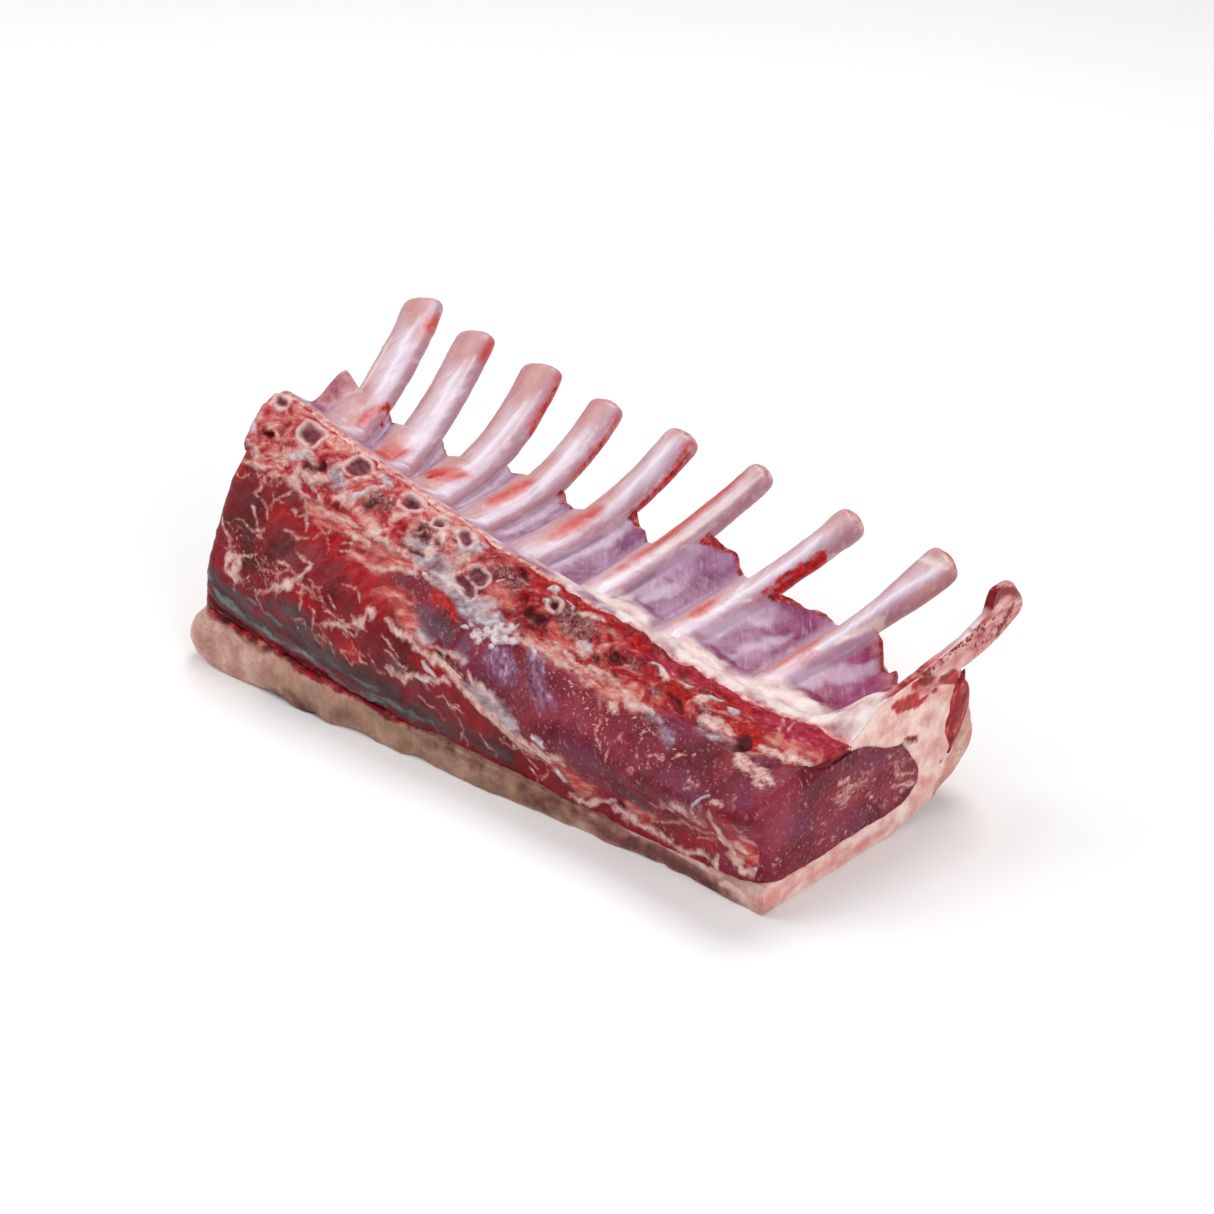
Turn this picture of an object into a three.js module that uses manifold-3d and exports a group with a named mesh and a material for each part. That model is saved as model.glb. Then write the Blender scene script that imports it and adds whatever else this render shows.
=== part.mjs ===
// Raw rack of lamb, nine ribs, trimmed bare at their ends. It lies on its fat with the ribs
// curving up and away. Millimetres: X runs along the backbone from the shoulder end to the
// loin end, Y runs out along the ribs, and Z is up. Everything is first laid out round the
// lines of the meat, and the whole is moved at the end to stand on the middle of its base.
import * as THREE from 'three';
import { mergeVertices } from 'three/addons/utils/BufferGeometryUtils.js';
import Module from 'manifold-3d';

const wasm = await Module();
wasm.setup();

// ---- Driving dimensions --------------------------------------------------------------

const SHOULDER_END = -89;     // X of the thick end
const LOIN_END = 101;         // X of the thin end
const LOIN_CUT_SKEW = 0.04;   // the saw cut at the loin end leans out along the ribs
const GAP = 0.35;             // clearance between neighbouring pieces
const SLICES = 30;            // cross sections along the whole rack
const BASE_MIDDLE = [1.1, 33.9];   // X and Y of the middle of the base

// Lines that run the length of the rack, each given at six even stations from the shoulder
// end to the loin end.
const RIDGE_Y = [11.2, 14.6, 17.7, 20.8, 23.9, 27];
const RIDGE_Z = [71.2, 60.5, 51.5, 45, 38.2, 36.5];
const CHINE_FRONT_Y = [-0.3, 1.6, 4, 7, 9.5, 12.3];
const CHINE_FRONT_Z = [60.2, 52.5, 45, 39.5, 35, 35.6];
const FAT_BOTTOM_Y = [-20.3, -19.3, -13, -8, -2.2, 0.4];
const FAT_TOP_Y = [-21.6, -20, -15, -9.5, -5, -4];
const FAT_TOP_Z = [17.5, 13.5, 9.8, 8, 5.8, 8.6];
const FAT_DEPTH = [11, 10, 8.5, 7.6, 6.6, 6.6];
const FLAT_END_Y = [42, 45, 47, 49, 50, 50];
const BELLY_Y = [60, 63, 68, 74, 78.5, 81];
const BELLY_Z = [27, 23, 18, 14.5, 12, 12];
const EYE_TIP_Y = [46.5, 49.5, 53, 55, 56.8, 57.6];
const EYE_TIP_Z = [31, 26, 21.5, 18, 15, 13.2];
const TRIM_Y = [38, 45.5, 56, 64.5, 67, 69];
const FACE_BULGE = [4.5, 6, 8, 10, 12, 16];
const FACE_BULGE_AT = [0.5, 0.55, 0.6, 0.65, 0.7, 0.75];
const EYE_SEAM = [1, 1, 0.76, 0.45, 0.12, 0.03];   // share of the depth below the seam

const CHINE_DEPTH = 7.5;
const CHINE_SLICES = 38;
const WALL_DEPTH = 6.6;       // rib cage between the ribs
const HEEL = 1.7;             // extra depth where the ribs' feet are buried
const WALL_DIP = 9.5;         // valley beside the chine
const LOIN_LIFT = 9;          // how far the last rib stands above the chest side before it
const WALL_REACH = 63;        // from the ridge to the rib ends
const WALL_SLICES = 38;
const FLAP_LIFT = 4.2;        // corner of skin that stands up at the shoulder end
const FLANK_THICKNESS = 2.6;

// Ribs: X of each at the foot, its lean along X for each mm out, the bend of that lean,
// the Y of its end, and its width.
const RIBS = [
  { foot: -75.5, lean: -0.355, bend: -0.002, end: 75, width: 13.2 },
  { foot: -58.5, lean: -0.342, bend: 0, end: 74.5, width: 13.2 },
  { foot: -44.8, lean: 0, bend: -0.0027, end: 78.5, width: 14 },
  { foot: -30.3, lean: 0.119, bend: -0.0017, end: 80.4, width: 12 },
  { foot: -13.2, lean: 0.126, bend: 0.0008, end: 83.7, width: 11.8 },
  { foot: 11.6, lean: -0.136, bend: 0.0056, end: 85.8, width: 9.2 },
  { foot: 36.1, lean: -0.134, bend: 0.0067, end: 87.6, width: 9, knob: 1.12 },
  { foot: 63, lean: -0.131, bend: 0.0069, end: 89.2, width: 7.4, flare: 1.6 },
  { foot: 99.3, lean: 0.045, bend: 0, end: 89.5, width: 11, sawn: true },
];
const RIB_THICKNESS = 6.4;
const SAWN_RIB_THICKNESS = 7.4;
const RIB_SINK = 1.2;         // centre of a rib below the chest side
const FOOT_SINK = 2.2;        // the same at its buried foot
const RIB_FOOT_Y = 5;         // from the ridge to the buried foot
const FOOT_REACH = 14;        // how far the foot takes to rise to the chest side
const RIB_STATIONS = [0, 0.014, 0.05, 0.14, 0.25, 0.37, 0.49, 0.61, 0.73, 0.84, 0.95, 0.986, 1];
const RIB_SIDES = 10;

// ---- Lines and surfaces --------------------------------------------------------------

const { lerp, clamp, smoothstep } = THREE.MathUtils;

function share(x) {
  return clamp((x - SHOULDER_END) / (LOIN_END - SHOULDER_END), 0, 1);
}

// Smooth value of one of the six-station lines at x.
function along(line, x) {
  const points = line.map((value) => new THREE.Vector2(value, 0));
  return new THREE.SplineCurve(points).getPoint(share(x)).x;
}

// Low swells that keep cut meat from looking turned.
function swell(x, y, length) {
  return Math.sin(x / length + 1.3 * Math.sin(y / length)) * Math.cos(y / length + x / 31);
}

// Chest side of the rack, as a height over the XY plane.
function chestHeight(x, y) {
  const out = y - along(RIDGE_Y, x);
  const nearShoulder = 1 - smoothstep(x, SHOULDER_END, SHOULDER_END + 25);
  const nearLoin = smoothstep(x, LOIN_END - 23, LOIN_END);
  const dip = WALL_DIP + Math.sin(Math.PI * share(x)) - 1.2 * nearShoulder - 4.5 * nearLoin;
  const rise = 3.5 + 16 * share(x);
  const valley = dip * smoothstep(out, 0, 14);
  return along(RIDGE_Z, x) - valley + (dip + rise) * (Math.max(out, 0) / WALL_REACH) ** 2.7;
}

// The chest side ramps up to the last rib.
function loinLift(x, y) {
  const out = y - along(RIDGE_Y, x);
  const ramp = smoothstep(x, LOIN_END - 20, LOIN_END - 2) * smoothstep(out, 0, 15);
  return LOIN_LIFT * ramp * (1 - smoothstep(y, 64, 96));
}

function ribX(rib, y) {
  return rib.foot + rib.lean * (y - 25) + rib.bend * (y - 25) ** 2;
}

// Y of the trimmed edge. Between two ribs the knife has left a slanting, hollow cut.
function trimLine(x) {
  const edge = along(TRIM_Y, x);
  const index = RIBS.findIndex((rib) => ribX(rib, edge) > x);
  if (index <= 0) return edge + (index === 0 ? -1.5 : 0);
  const left = ribX(RIBS[index - 1], edge);
  const right = ribX(RIBS[index], edge);
  const part = (x - left) / (right - left);
  const hollow = index === RIBS.length - 1 ? 4.5 : 1.2;
  return edge + 2.4 * (1 - 2 * part) - hollow * Math.sin(Math.PI * part);
}

// Section curves, in (Y, Z), at one x ---------------------------------------------------

function curve(points) {
  return new THREE.SplineCurve(points.map(([y, z]) => new THREE.Vector2(y, z)));
}

function stations(x) {
  const at = (line) => along(line, x);
  const trimY = trimLine(x);
  return {
    front: [at(FAT_TOP_Y), at(FAT_TOP_Z)],
    toe: at(FAT_BOTTOM_Y),
    depth: at(FAT_DEPTH),
    flatEnd: at(FLAT_END_Y),
    belly: [at(BELLY_Y), at(BELLY_Z)],
    tip: [at(EYE_TIP_Y), at(EYE_TIP_Z)],
    ridge: [at(RIDGE_Y), at(RIDGE_Z)],
    chineFront: [at(CHINE_FRONT_Y), at(CHINE_FRONT_Z)],
    trim: [trimY, chestHeight(x, trimY) - wallThickness(x, 1)],
  };
}

function skinCurve(s) {
  const [frontY, frontZ] = s.front;
  const [bellyY, bellyZ] = s.belly;
  const flap = [s.trim[0] + 5, s.trim[1] + 1.6];
  return curve([
    [frontY, frontZ],
    [s.toe - 0.12 * frontZ - 0.6, frontZ * 0.45],
    [s.toe, 0],
    [lerp(s.toe, s.flatEnd, 0.33), 0],
    [lerp(s.toe, s.flatEnd, 0.7), 0],
    [s.flatEnd, 0],
    [lerp(s.flatEnd, bellyY, 0.36), bellyZ * 0.13],
    [lerp(s.flatEnd, bellyY, 0.74), bellyZ * 0.42],
    [bellyY, bellyZ],
    [lerp(bellyY, flap[0], 0.24), lerp(bellyZ, flap[1], 0.38)],
    [lerp(bellyY, flap[0], 0.6), lerp(bellyZ, flap[1], 0.74)],
    flap,
  ]);
}

// Top of the fat, round the tip of the eye and back out below the rib cage.
function fatTopCurve(s) {
  const [frontY, frontZ] = s.front;
  const [tipY, tipZ] = s.tip;
  const hook = [tipY - 7, Math.min(s.trim[1] - 2, tipZ + 15)];
  return curve([
    [frontY + 1.5, frontZ + 0.2],
    [frontY + 5, lerp(frontZ, s.depth, 0.35)],
    [frontY + 10, lerp(frontZ, s.depth, 0.8)],
    [lerp(frontY, tipY, 0.36), s.depth],
    [lerp(frontY, tipY, 0.6), s.depth],
    [tipY - 15, s.depth],
    [tipY - 6.5, lerp(s.depth, tipZ, 0.12)],
    [tipY - 1.6, lerp(s.depth, tipZ, 0.5)],
    [tipY, tipZ],
    [tipY - 1.2, lerp(tipZ, hook[1], 0.5)],
    [lerp(hook[0], s.trim[0], 0.12), hook[1]],
    [s.trim[0] - 0.6, s.trim[1] - GAP],
  ]);
}

// ---- Making solids -------------------------------------------------------------------

function closedMesh(geometry) {
  geometry.deleteAttribute('normal');
  geometry.deleteAttribute('uv');
  const merged = mergeVertices(geometry, 1e-4);
  return new wasm.Manifold(new wasm.Mesh({
    numProp: 3,
    vertProperties: new Float32Array(merged.attributes.position.array),
    triVerts: new Uint32Array(merged.index.array),
  }));
}

// A box of small faces, bent to shape. The place function gets each corner as shares of
// the box's length, width and height.
function bentBox([long, wide, high], place) {
  const box = new THREE.BoxGeometry(1, 1, 1, long, wide, high);
  const position = box.attributes.position;
  for (let i = 0; i < position.count; i += 1) {
    const u = Math.round((position.getX(i) + 0.5) * long) / long;
    const v = Math.round((position.getY(i) + 0.5) * wide) / wide;
    const w = Math.round((position.getZ(i) + 0.5) * high) / high;
    const [x, y, z] = place(u, v, w);
    position.setXYZ(i, x, y, z);
  }
  return closedMesh(box);
}

// X of a numbered cross section.
function sliceX(number) {
  return lerp(SHOULDER_END, LOIN_END, number / SLICES);
}

// The loin end is one plane cut through every piece.
function skewed(x, y) {
  return x + LOIN_CUT_SKEW * Math.max(y, 0) * share(x) ** 3;
}

// A cutting block reaches past both ends of what it cuts.
function pastEnds(u, grow) {
  return u === 0 ? -grow : u === 1 ? grow : 0;
}

const rack = new THREE.Group();

function addPiece(name, solid, color, roughness) {
  const { vertProperties, triVerts } = solid.getMesh();
  const geometry = new THREE.BufferGeometry();
  geometry.setAttribute('position', new THREE.BufferAttribute(vertProperties, 3));
  geometry.setIndex(new THREE.BufferAttribute(triVerts, 1));
  const material = new THREE.MeshStandardMaterial({ color, roughness, metalness: 0 });
  const mesh = new THREE.Mesh(geometry, material);
  mesh.name = name;
  rack.add(mesh);
}

// ---- Ribs ----------------------------------------------------------------------------

// Centre line: it rises from its buried foot and then follows the chest side and its curve.
function ribPath(rib) {
  const footY = along(RIDGE_Y, rib.foot) + RIB_FOOT_Y;
  const knots = 8;
  const points = [];
  for (let i = 0; i <= knots; i += 1) {
    const y = lerp(footY, rib.end, i / knots);
    const x = ribX(rib, y);
    const sink = lerp(FOOT_SINK, RIB_SINK, smoothstep(y - footY, 0, FOOT_REACH));
    points.push(new THREE.Vector3(x, y, chestHeight(x, y) + loinLift(x, y) - sink));
  }
  return new THREE.CatmullRomCurve3(points, false, 'centripetal');
}

// Width and thickness factors of a rib at a share of its length.
function ribProfile(rib, t) {
  const fromEnd = Math.min(t, 1 - t) / RIB_STATIONS[2];
  const round = 0.6 + 0.4 * Math.sqrt(1 - (1 - Math.min(fromEnd, 1)) ** 2);
  const knob = rib.knob ? 1 + (rib.knob - 1) * smoothstep(t, 0.86, 0.94) : 1;
  const flare = rib.flare ? 1 + (rib.flare - 1) * smoothstep(t, 0.62, 0.95) : 1;
  const thin = rib.flare ? 1 - 0.25 * smoothstep(t, 0.7, 0.95) : 1;
  const foot = lerp(0.55, 1, smoothstep(t, 0, 0.18));
  return { wide: round * knob * flare, thick: round * knob * thin * foot };
}

function ribSolid(rib, grow) {
  const path = ribPath(rib);
  const steps = RIB_STATIONS.length - 1;
  const rod = new THREE.CylinderGeometry(1, 1, 1, RIB_SIDES, steps, false);
  const thickness = rib.sawn ? SAWN_RIB_THICKNESS : RIB_THICKNESS;
  const position = rod.attributes.position;
  const middle = new THREE.Vector3();
  const boxier = (value) => Math.sign(value) * Math.abs(value) ** 0.85;
  for (let i = 0; i < position.count; i += 1) {
    const t = RIB_STATIONS[Math.round((position.getY(i) + 0.5) * steps)];
    const { wide, thick } = ribProfile(rib, t);
    path.getPointAt(t, middle);
    const tangent = path.getTangentAt(t);
    const side = new THREE.Vector3(1, 0, 0).addScaledVector(tangent, -tangent.x).normalize();
    const normal = new THREE.Vector3().crossVectors(side, tangent);
    const across = boxier(position.getX(i)) * (rib.width / 2 * wide + grow);
    const through = boxier(position.getZ(i)) * (thickness / 2 * thick + grow);
    middle.addScaledVector(side, across).addScaledVector(normal, through);
    middle.addScaledVector(tangent, grow * (2 * t - 1));
    position.setXYZ(i, middle.x, middle.y, middle.z);
  }
  return closedMesh(rod);
}

// Everything beyond the plane of the loin end, as one block to cut away.
function beyondLoinEnd(margin) {
  return bentBox([1, 1, 1], (u, v, w) => {
    const y = lerp(-60, 160, v);
    const x = u === 0 ? LOIN_END + margin + LOIN_CUT_SKEW * y : LOIN_END + 60;
    return [x, y, lerp(-20, 120, w)];
  });
}

const ribs = RIBS.map((rib) => ribSolid(rib, 0));
const ribSlots = RIBS.map((rib) => ribSolid(rib, GAP));
ribs[8] = ribs[8].subtract(beyondLoinEnd(0.4));

// ---- Chine ---------------------------------------------------------------------------

// Sawn face of the backbone: a wedge of bone from the cut muscle up to the ridge.
const chine = bentBox([CHINE_SLICES, 4, 1], (u, v, w) => {
  const x = lerp(SHOULDER_END, LOIN_END, u);
  const { chineFront, ridge } = stations(x);
  const y = lerp(chineFront[0], ridge[0], v);
  const z = lerp(chineFront[1], ridge[1], v);
  const crown = 1.6 * Math.sin(Math.PI * v) * Math.sin(Math.PI * v);
  const rough = 0.7 * swell(x, y * 2, 3.1) * (u > 0 && u < 1 ? 1 : 0);
  const vertebra = 0.6 * Math.cos((x - 12) * 2 * Math.PI / 26) * Math.sin(Math.PI * v);
  const top = z + crown + rough + vertebra;
  const seat = z - lerp(2.4, CHINE_DEPTH, Math.min(1, v * 1.6));
  const lean = v === 1 ? 0.5 * (1 - w) : 0;
  return [skewed(x, y), y + lean, lerp(seat, top, w)];
});

// ---- Rib cage between the ribs -------------------------------------------------------

function wallFoot(x) {
  return along(RIDGE_Y, x) + 0.5 + GAP;
}

function wallThickness(x, v) {
  const nearLoin = smoothstep(x, LOIN_END - 40, LOIN_END);
  const heel = HEEL * Math.max(0, 1 - Math.abs(v - 0.2) / 0.15);
  return (lerp(3.4, WALL_DEPTH, smoothstep(v, 0, 0.15)) + heel) * (1 - 0.12 * nearLoin);
}

// The rib cage as one bent slab from the chine out to the trimmed edge.
function wallBlock(grow) {
  return bentBox([WALL_SLICES, 7, 1], (u, v, w) => {
    const x = lerp(SHOULDER_END, LOIN_END, u);
    const edge = trimLine(x);
    const y = lerp(wallFoot(x), edge, v);
    const flap = (1 - smoothstep(x, SHOULDER_END, SHOULDER_END + 6)) * smoothstep(v, 0.45, 0.95);
    const top = chestHeight(x, y) + loinLift(x, y) - (v === 0 ? 0.5 : 0) + FLAP_LIFT * flap + grow;
    const floor = chestHeight(x, y) - wallThickness(x, v) - grow;
    const cutBack = v === 1 ? 1.4 * (1 - w) + grow : 0;
    return [skewed(x, y) + pastEnds(u, grow), y + cutBack, lerp(floor, top, w)];
  });
}

let wall = wallBlock(0);
for (const slot of ribSlots) wall = wall.subtract(slot);

// ---- Fat cap and the flank muscle laid in it ------------------------------------------

const FAT_WIDE = 17;
let fatCap = bentBox([SLICES, FAT_WIDE, 1], (u, v, w) => {
  const x = lerp(SHOULDER_END, LOIN_END, u);
  const s = stations(x);
  const outer = skinCurve(s).getPoint(v);
  const inner = fatTopCurve(s).getPoint(v);
  const y = lerp(outer.x, inner.x, w);
  const z = Math.max(lerp(outer.y, inner.y, w), 0);
  return [skewed(x, y), y, z];
});

// Thin strip of muscle in the fat of the flank. It shows at the ends and along the top cut.
function flankStrip(grow) {
  return bentBox([SLICES, 3, 1], (u, v, w) => {
    const x = lerp(SHOULDER_END, LOIN_END, u);
    const s = stations(x);
    const outer = skinCurve(s).getPoint(lerp(8 / 11, 1, v));
    const inner = new THREE.Vector2(...s.tip).lerp(new THREE.Vector2(...s.trim), v);
    const middle = lerp(0.52, 0.3, v);
    const half = FLANK_THICKNESS / 2 * (v === 0 ? 0.5 : 1) + grow;
    const part = middle + (2 * w - 1) * half / outer.distanceTo(inner);
    const ends = v === 1 ? 0.7 + grow : v === 0 ? -grow : 0;
    const y = lerp(outer.x, inner.x, part);
    return [skewed(x, y) + pastEnds(u, grow), y, lerp(outer.y, inner.y, part) + ends];
  });
}

fatCap = fatCap.subtract(flankStrip(GAP)).subtract(wallBlock(GAP));
const flank = flankStrip(0).subtract(wallBlock(GAP)).subtract(ribSlots[1]);

// ---- Muscles ---------------------------------------------------------------------------

// Roof over the muscles: under the chine, then under the rib cage, down to the eye's tip.
function roofCurve(s, x) {
  const foot = wallFoot(x);
  const under = (y) => {
    const v = Math.max(0, y - foot) / (s.trim[0] - foot);
    return chestHeight(x, y) - wallThickness(x, v) - 1.1;
  };
  const [frontY, frontZ] = s.chineFront;
  const [ridgeY, ridgeZ] = s.ridge;
  const [tipY, tipZ] = s.tip;
  const shoulderY = tipY - 12.5;
  const shoulderZ = Math.min(under(shoulderY), tipZ + 14);
  const across = (part) => lerp(ridgeY, shoulderY, part);
  return curve([
    [frontY + 0.1, frontZ - 2.9],
    [lerp(frontY, ridgeY, 0.5), lerp(frontZ, ridgeZ, 0.5) - CHINE_DEPTH - 0.9],
    [ridgeY + 0.5, ridgeZ - CHINE_DEPTH - 1.2],
    [across(0.25), Math.min(under(across(0.25)), ridgeZ - CHINE_DEPTH - 1.5) - 0.8],
    [across(0.5), under(across(0.5)) - 0.4],
    [across(0.75), under(across(0.75))],
    [shoulderY, shoulderZ],
    [tipY - 6.5, lerp(tipZ, shoulderZ, 0.74)],
    [tipY - 3.2, lerp(tipZ, shoulderZ, 0.36)],
  ]);
}

const MEAT_WIDE = 9;
const MEAT_HIGH = 5;
const SEAM_GAP = 0.026;       // share of the depth between the two muscles
const FLOOR_END = 7.6 / 11;   // how far round the fat's top curve the muscles lie on it

// A point inside the muscles: v across from the cut face, w up from the fat.
function musclePoint(x, v, w) {
  const s = stations(x);
  const low = fatTopCurve(s).getPoint(v * FLOOR_END);
  const high = roofCurve(s, x).getPoint(v);
  const slope = fatTopCurve(s).getTangent(v * FLOOR_END);
  low.add(new THREE.Vector2(-slope.y, slope.x).multiplyScalar(GAP + 0.1));
  const lean = Math.log(0.5) / Math.log(along(FACE_BULGE_AT, x));
  const faceShape = Math.sin(Math.PI * w ** lean);
  const rough = 0.9 * swell(x, w * 40, 9) * Math.sin(Math.PI * w);
  const bulge = (along(FACE_BULGE, x) * faceShape + rough) * (1 - v) ** 3;
  const tipBulge = 1.2 * Math.sin(Math.PI * w) * v ** 8;
  const y = lerp(low.x, high.x, w) - bulge + tipBulge;
  return [skewed(x, y), y, lerp(low.y, high.y, w)];
}

const EYE_FROM = 9;           // cross section where the eye comes to the surface
const CAP_TO = 28;            // cross section where the shoulder muscle runs out

const shoulderMuscle = bentBox([CAP_TO, MEAT_WIDE, MEAT_HIGH], (u, v, w) => {
  const x = sliceX(u * CAP_TO);
  return musclePoint(x, v, w * Math.min(along(EYE_SEAM, x), 1));
});

const loinEye = bentBox([SLICES - EYE_FROM, MEAT_WIDE, MEAT_HIGH], (u, v, w) => {
  const number = lerp(EYE_FROM, SLICES, u);
  const x = sliceX(number);
  const seam = number > CAP_TO + 0.5 ? 0 : along(EYE_SEAM, x) + SEAM_GAP * (1 + v);
  return musclePoint(x, v, lerp(Math.min(seam, 1 - SEAM_GAP), 1, w));
});

// ---- The rack ------------------------------------------------------------------------

addPiece('fat_cap', fatCap, 0xd9a68f, 0.5);
addPiece('flank_strip', flank, 0x6e2327, 0.5);
addPiece('shoulder_muscle', shoulderMuscle, 0x8f1f24, 0.4);
addPiece('loin_eye', loinEye, 0x7d2431, 0.4);
addPiece('chest_wall', wall, 0xa985a3, 0.35);
addPiece('chine', chine, 0xc98f86, 0.6);
ribs.forEach((rib, i) => addPiece(`rib_${i + 1}`, rib, 0xdcc3c8, 0.3));

rack.position.set(-BASE_MIDDLE[0], -BASE_MIDDLE[1], 0);

export default rack;
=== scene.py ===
"""Raw rack of lamb, nine ribs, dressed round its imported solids.

Shapes are laid out in millimetres on the rack's own lines: x runs along the backbone from the
shoulder end to the loin end, y out along the ribs, z up. A mesh is turned into metres, and moved
to stand on the middle of its base, when it is made.
"""
import itertools
import math

import bmesh
import bpy
import numpy as np
from mathutils import Matrix, Vector


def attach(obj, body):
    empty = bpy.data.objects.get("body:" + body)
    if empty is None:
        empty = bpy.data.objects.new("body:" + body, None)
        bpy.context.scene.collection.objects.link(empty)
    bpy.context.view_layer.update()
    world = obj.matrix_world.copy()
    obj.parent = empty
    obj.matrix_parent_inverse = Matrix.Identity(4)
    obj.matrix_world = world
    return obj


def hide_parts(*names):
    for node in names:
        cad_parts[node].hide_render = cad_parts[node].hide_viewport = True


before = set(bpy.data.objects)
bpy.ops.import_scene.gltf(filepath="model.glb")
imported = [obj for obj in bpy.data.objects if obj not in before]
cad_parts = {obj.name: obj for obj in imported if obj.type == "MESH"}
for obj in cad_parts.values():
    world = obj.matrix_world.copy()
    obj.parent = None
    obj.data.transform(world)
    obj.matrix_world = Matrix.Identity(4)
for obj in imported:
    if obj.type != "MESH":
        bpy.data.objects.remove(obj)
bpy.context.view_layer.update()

# ---- Driving dimensions ------------------------------------------------------------------

MM = 0.001
BASE_MIDDLE = (1.1, 33.9)
SHOULDER_END = -89.0
LOIN_END = 101.0
LOIN_CUT_SKEW = 0.04
EYE_FROM = 0.2              # share of the length at which the eye muscle starts
CAP_TO = 28 / 30            # share of the length at which the shoulder muscle ends
CAP_RUNOUT = 2 / 30         # share of the length over which it thins out there

# Lines along the rack, each at six even stations from the shoulder end to the loin end.
RIDGE_Y = (11.2, 14.6, 17.7, 20.8, 23.9, 27)
RIDGE_Z = (71.2, 60.5, 51.5, 45, 38.2, 36.5)
CHINE_FRONT_Y = (-0.3, 1.6, 4, 7, 9.5, 12.3)
CHINE_FRONT_Z = (60.2, 52.5, 45, 39.5, 35, 35.6)
FAT_BOTTOM_Y = (-20.3, -19.3, -13, -8, -2.2, 0.4)
FAT_TOP_Y = (-21.6, -20, -15, -9.5, -5, -4)
FAT_TOP_Z = (17.5, 13.5, 9.8, 8, 5.8, 8.6)
FAT_DEPTH = (11, 10, 8.5, 7.6, 6.8, 8.2)
FLAT_END_Y = (42, 45, 47, 49, 49, 44.5)
BELLY_Y = (60, 63, 68, 73.5, 77, 76.8)
BELLY_Z = (27, 23, 18, 14.5, 13, 16.5)
EYE_TIP_Y = (46.5, 49.5, 53, 54.8, 56, 54.4)
EYE_TIP_Z = (31, 26, 21.5, 18, 15.5, 14.8)
TRIM_Y = (38, 45.5, 56, 64.5, 67, 69)
FACE_BULGE = (4.5, 6, 8, 10, 12, 16)
FACE_BULGE_AT = (0.5, 0.55, 0.6, 0.65, 0.7, 0.75)
EYE_SEAM = (1, 1, 0.76, 0.45, 0.12, 0.03)

CHINE_DEPTH = 7.5
WALL_DEPTH = 6.6
WALL_DIP = 9.5
WALL_REACH = 63
LOIN_LIFT = 9
FLAP_LIFT = 5.0
FLANK_THICKNESS = 2.6
CORNER_RADIUS = 9.0
SHOULDER_CORNER_RADIUS = 4.0
FAT_CORNER_RADIUS = 8.0
FAT_BULGE_TOP = 16.5        # height up to which the fat swells out at the shoulder end
RIB_GAP = 0.5               # from a rib's side to where the trimmed edge between ribs starts
SAWN_RIB_GAP = 1.6
TRIM_ROUGH = 0.6
VERTEBRA_STEP = 26          # from one vertebra's low swell to the next
CHINE_CROWN = 1.6
CHINE_EAVE = 1.3            # how far the backbone's crest stands out over the rib cage

# How far the trimmed edge lies out of its line beside each rib, halfway and by the next one,
# and before the first rib and past the last.
TRIM_SHIFTS = (
    (-0.8, -2.5, -4), (0.6, -2, -3.3), (2.6, 1, 1.2), (1.8, -1.2, -2.9), (3.4, -0.6, -4.6),
    (3.6, 2.5, -2), (-0.6, 0.4, 0.2), (2, -8.5, -20))
TRIM_END_SHIFTS = (-1.0, -1.5)

# Each rib: X where its lean starts, lean and bend along X, Y of its end, width, and what is
# special about it.
RIBS = (
    dict(foot=-75.5, lean=-0.355, bend=-0.002, end=75, width=13.2),
    dict(foot=-58.5, lean=-0.342, bend=0, end=74.5, width=13.2),
    dict(foot=-44.8, lean=0, bend=-0.0027, end=78.5, width=14),
    dict(foot=-30.3, lean=0.119, bend=-0.0017, end=80.4, width=12),
    dict(foot=-13.2, lean=0.126, bend=0.0008, end=83.7, width=11.8),
    dict(foot=11.6, lean=-0.136, bend=0.0056, end=85.8, width=9.2),
    dict(foot=36.1, lean=-0.134, bend=0.0067, end=87.6, width=9, knob=1.12),
    dict(foot=63, lean=-0.131, bend=0.0069, end=89.2, width=7.4, flare=1.6),
    dict(foot=101.2, lean=0.045, bend=0, end=89.5, width=5.4, sawn=True),
)
RIB_THICKNESS = 6.4
SAWN_RIB_THICKNESS = 7.4
RIB_SINK = 1.2
FOOT_SINK = 2.2
RIB_FOOT_Y = 5              # from the ridge to where a rib's middle line starts
RIB_LINE_STEPS = 400
RIB_END_ROUNDING = 0.05     # share of a rib's length over which each end narrows
RIB_BOXINESS = 0.85         # 1 is round in section, less is boxier
FOOT_REACH = 14
LEAN_FROM_Y = 25
SAWN_RIB_PROUD = 0.4        # how far the last rib's sawn side stands out of the loin end
SAWN_RIB_SUNK = 1.4         # how far it lies back at its foot
END_FLAP_Y = (78.4, 80.2, 80.4, 91)
END_FLAP_LIFT = 5.0

# ---- Lines and surfaces ------------------------------------------------------------------


def lerp(a, b, part):
    return a + (b - a) * part


def smooth(value, low, high):
    """Eased rise from 0 at low to 1 at high."""
    part = np.clip((value - low) / (high - low), 0, 1)
    return part * part * (3 - 2 * part)


def hump(value, middle, half):
    """Rounded hump, 1 at the middle and 0 from half away."""
    return 1 - smooth(np.abs(value - middle), 0, half)


def higher(a, b, blend):
    """The larger of two heights, with the crease between them rounded off."""
    part = np.clip(0.5 + 0.5 * (a - b) / blend, 0, 1)
    return lerp(b, a, part) + blend * part * (1 - part)


def share(x):
    return np.clip((x - SHOULDER_END) / (LOIN_END - SHOULDER_END), 0, 1)


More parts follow.
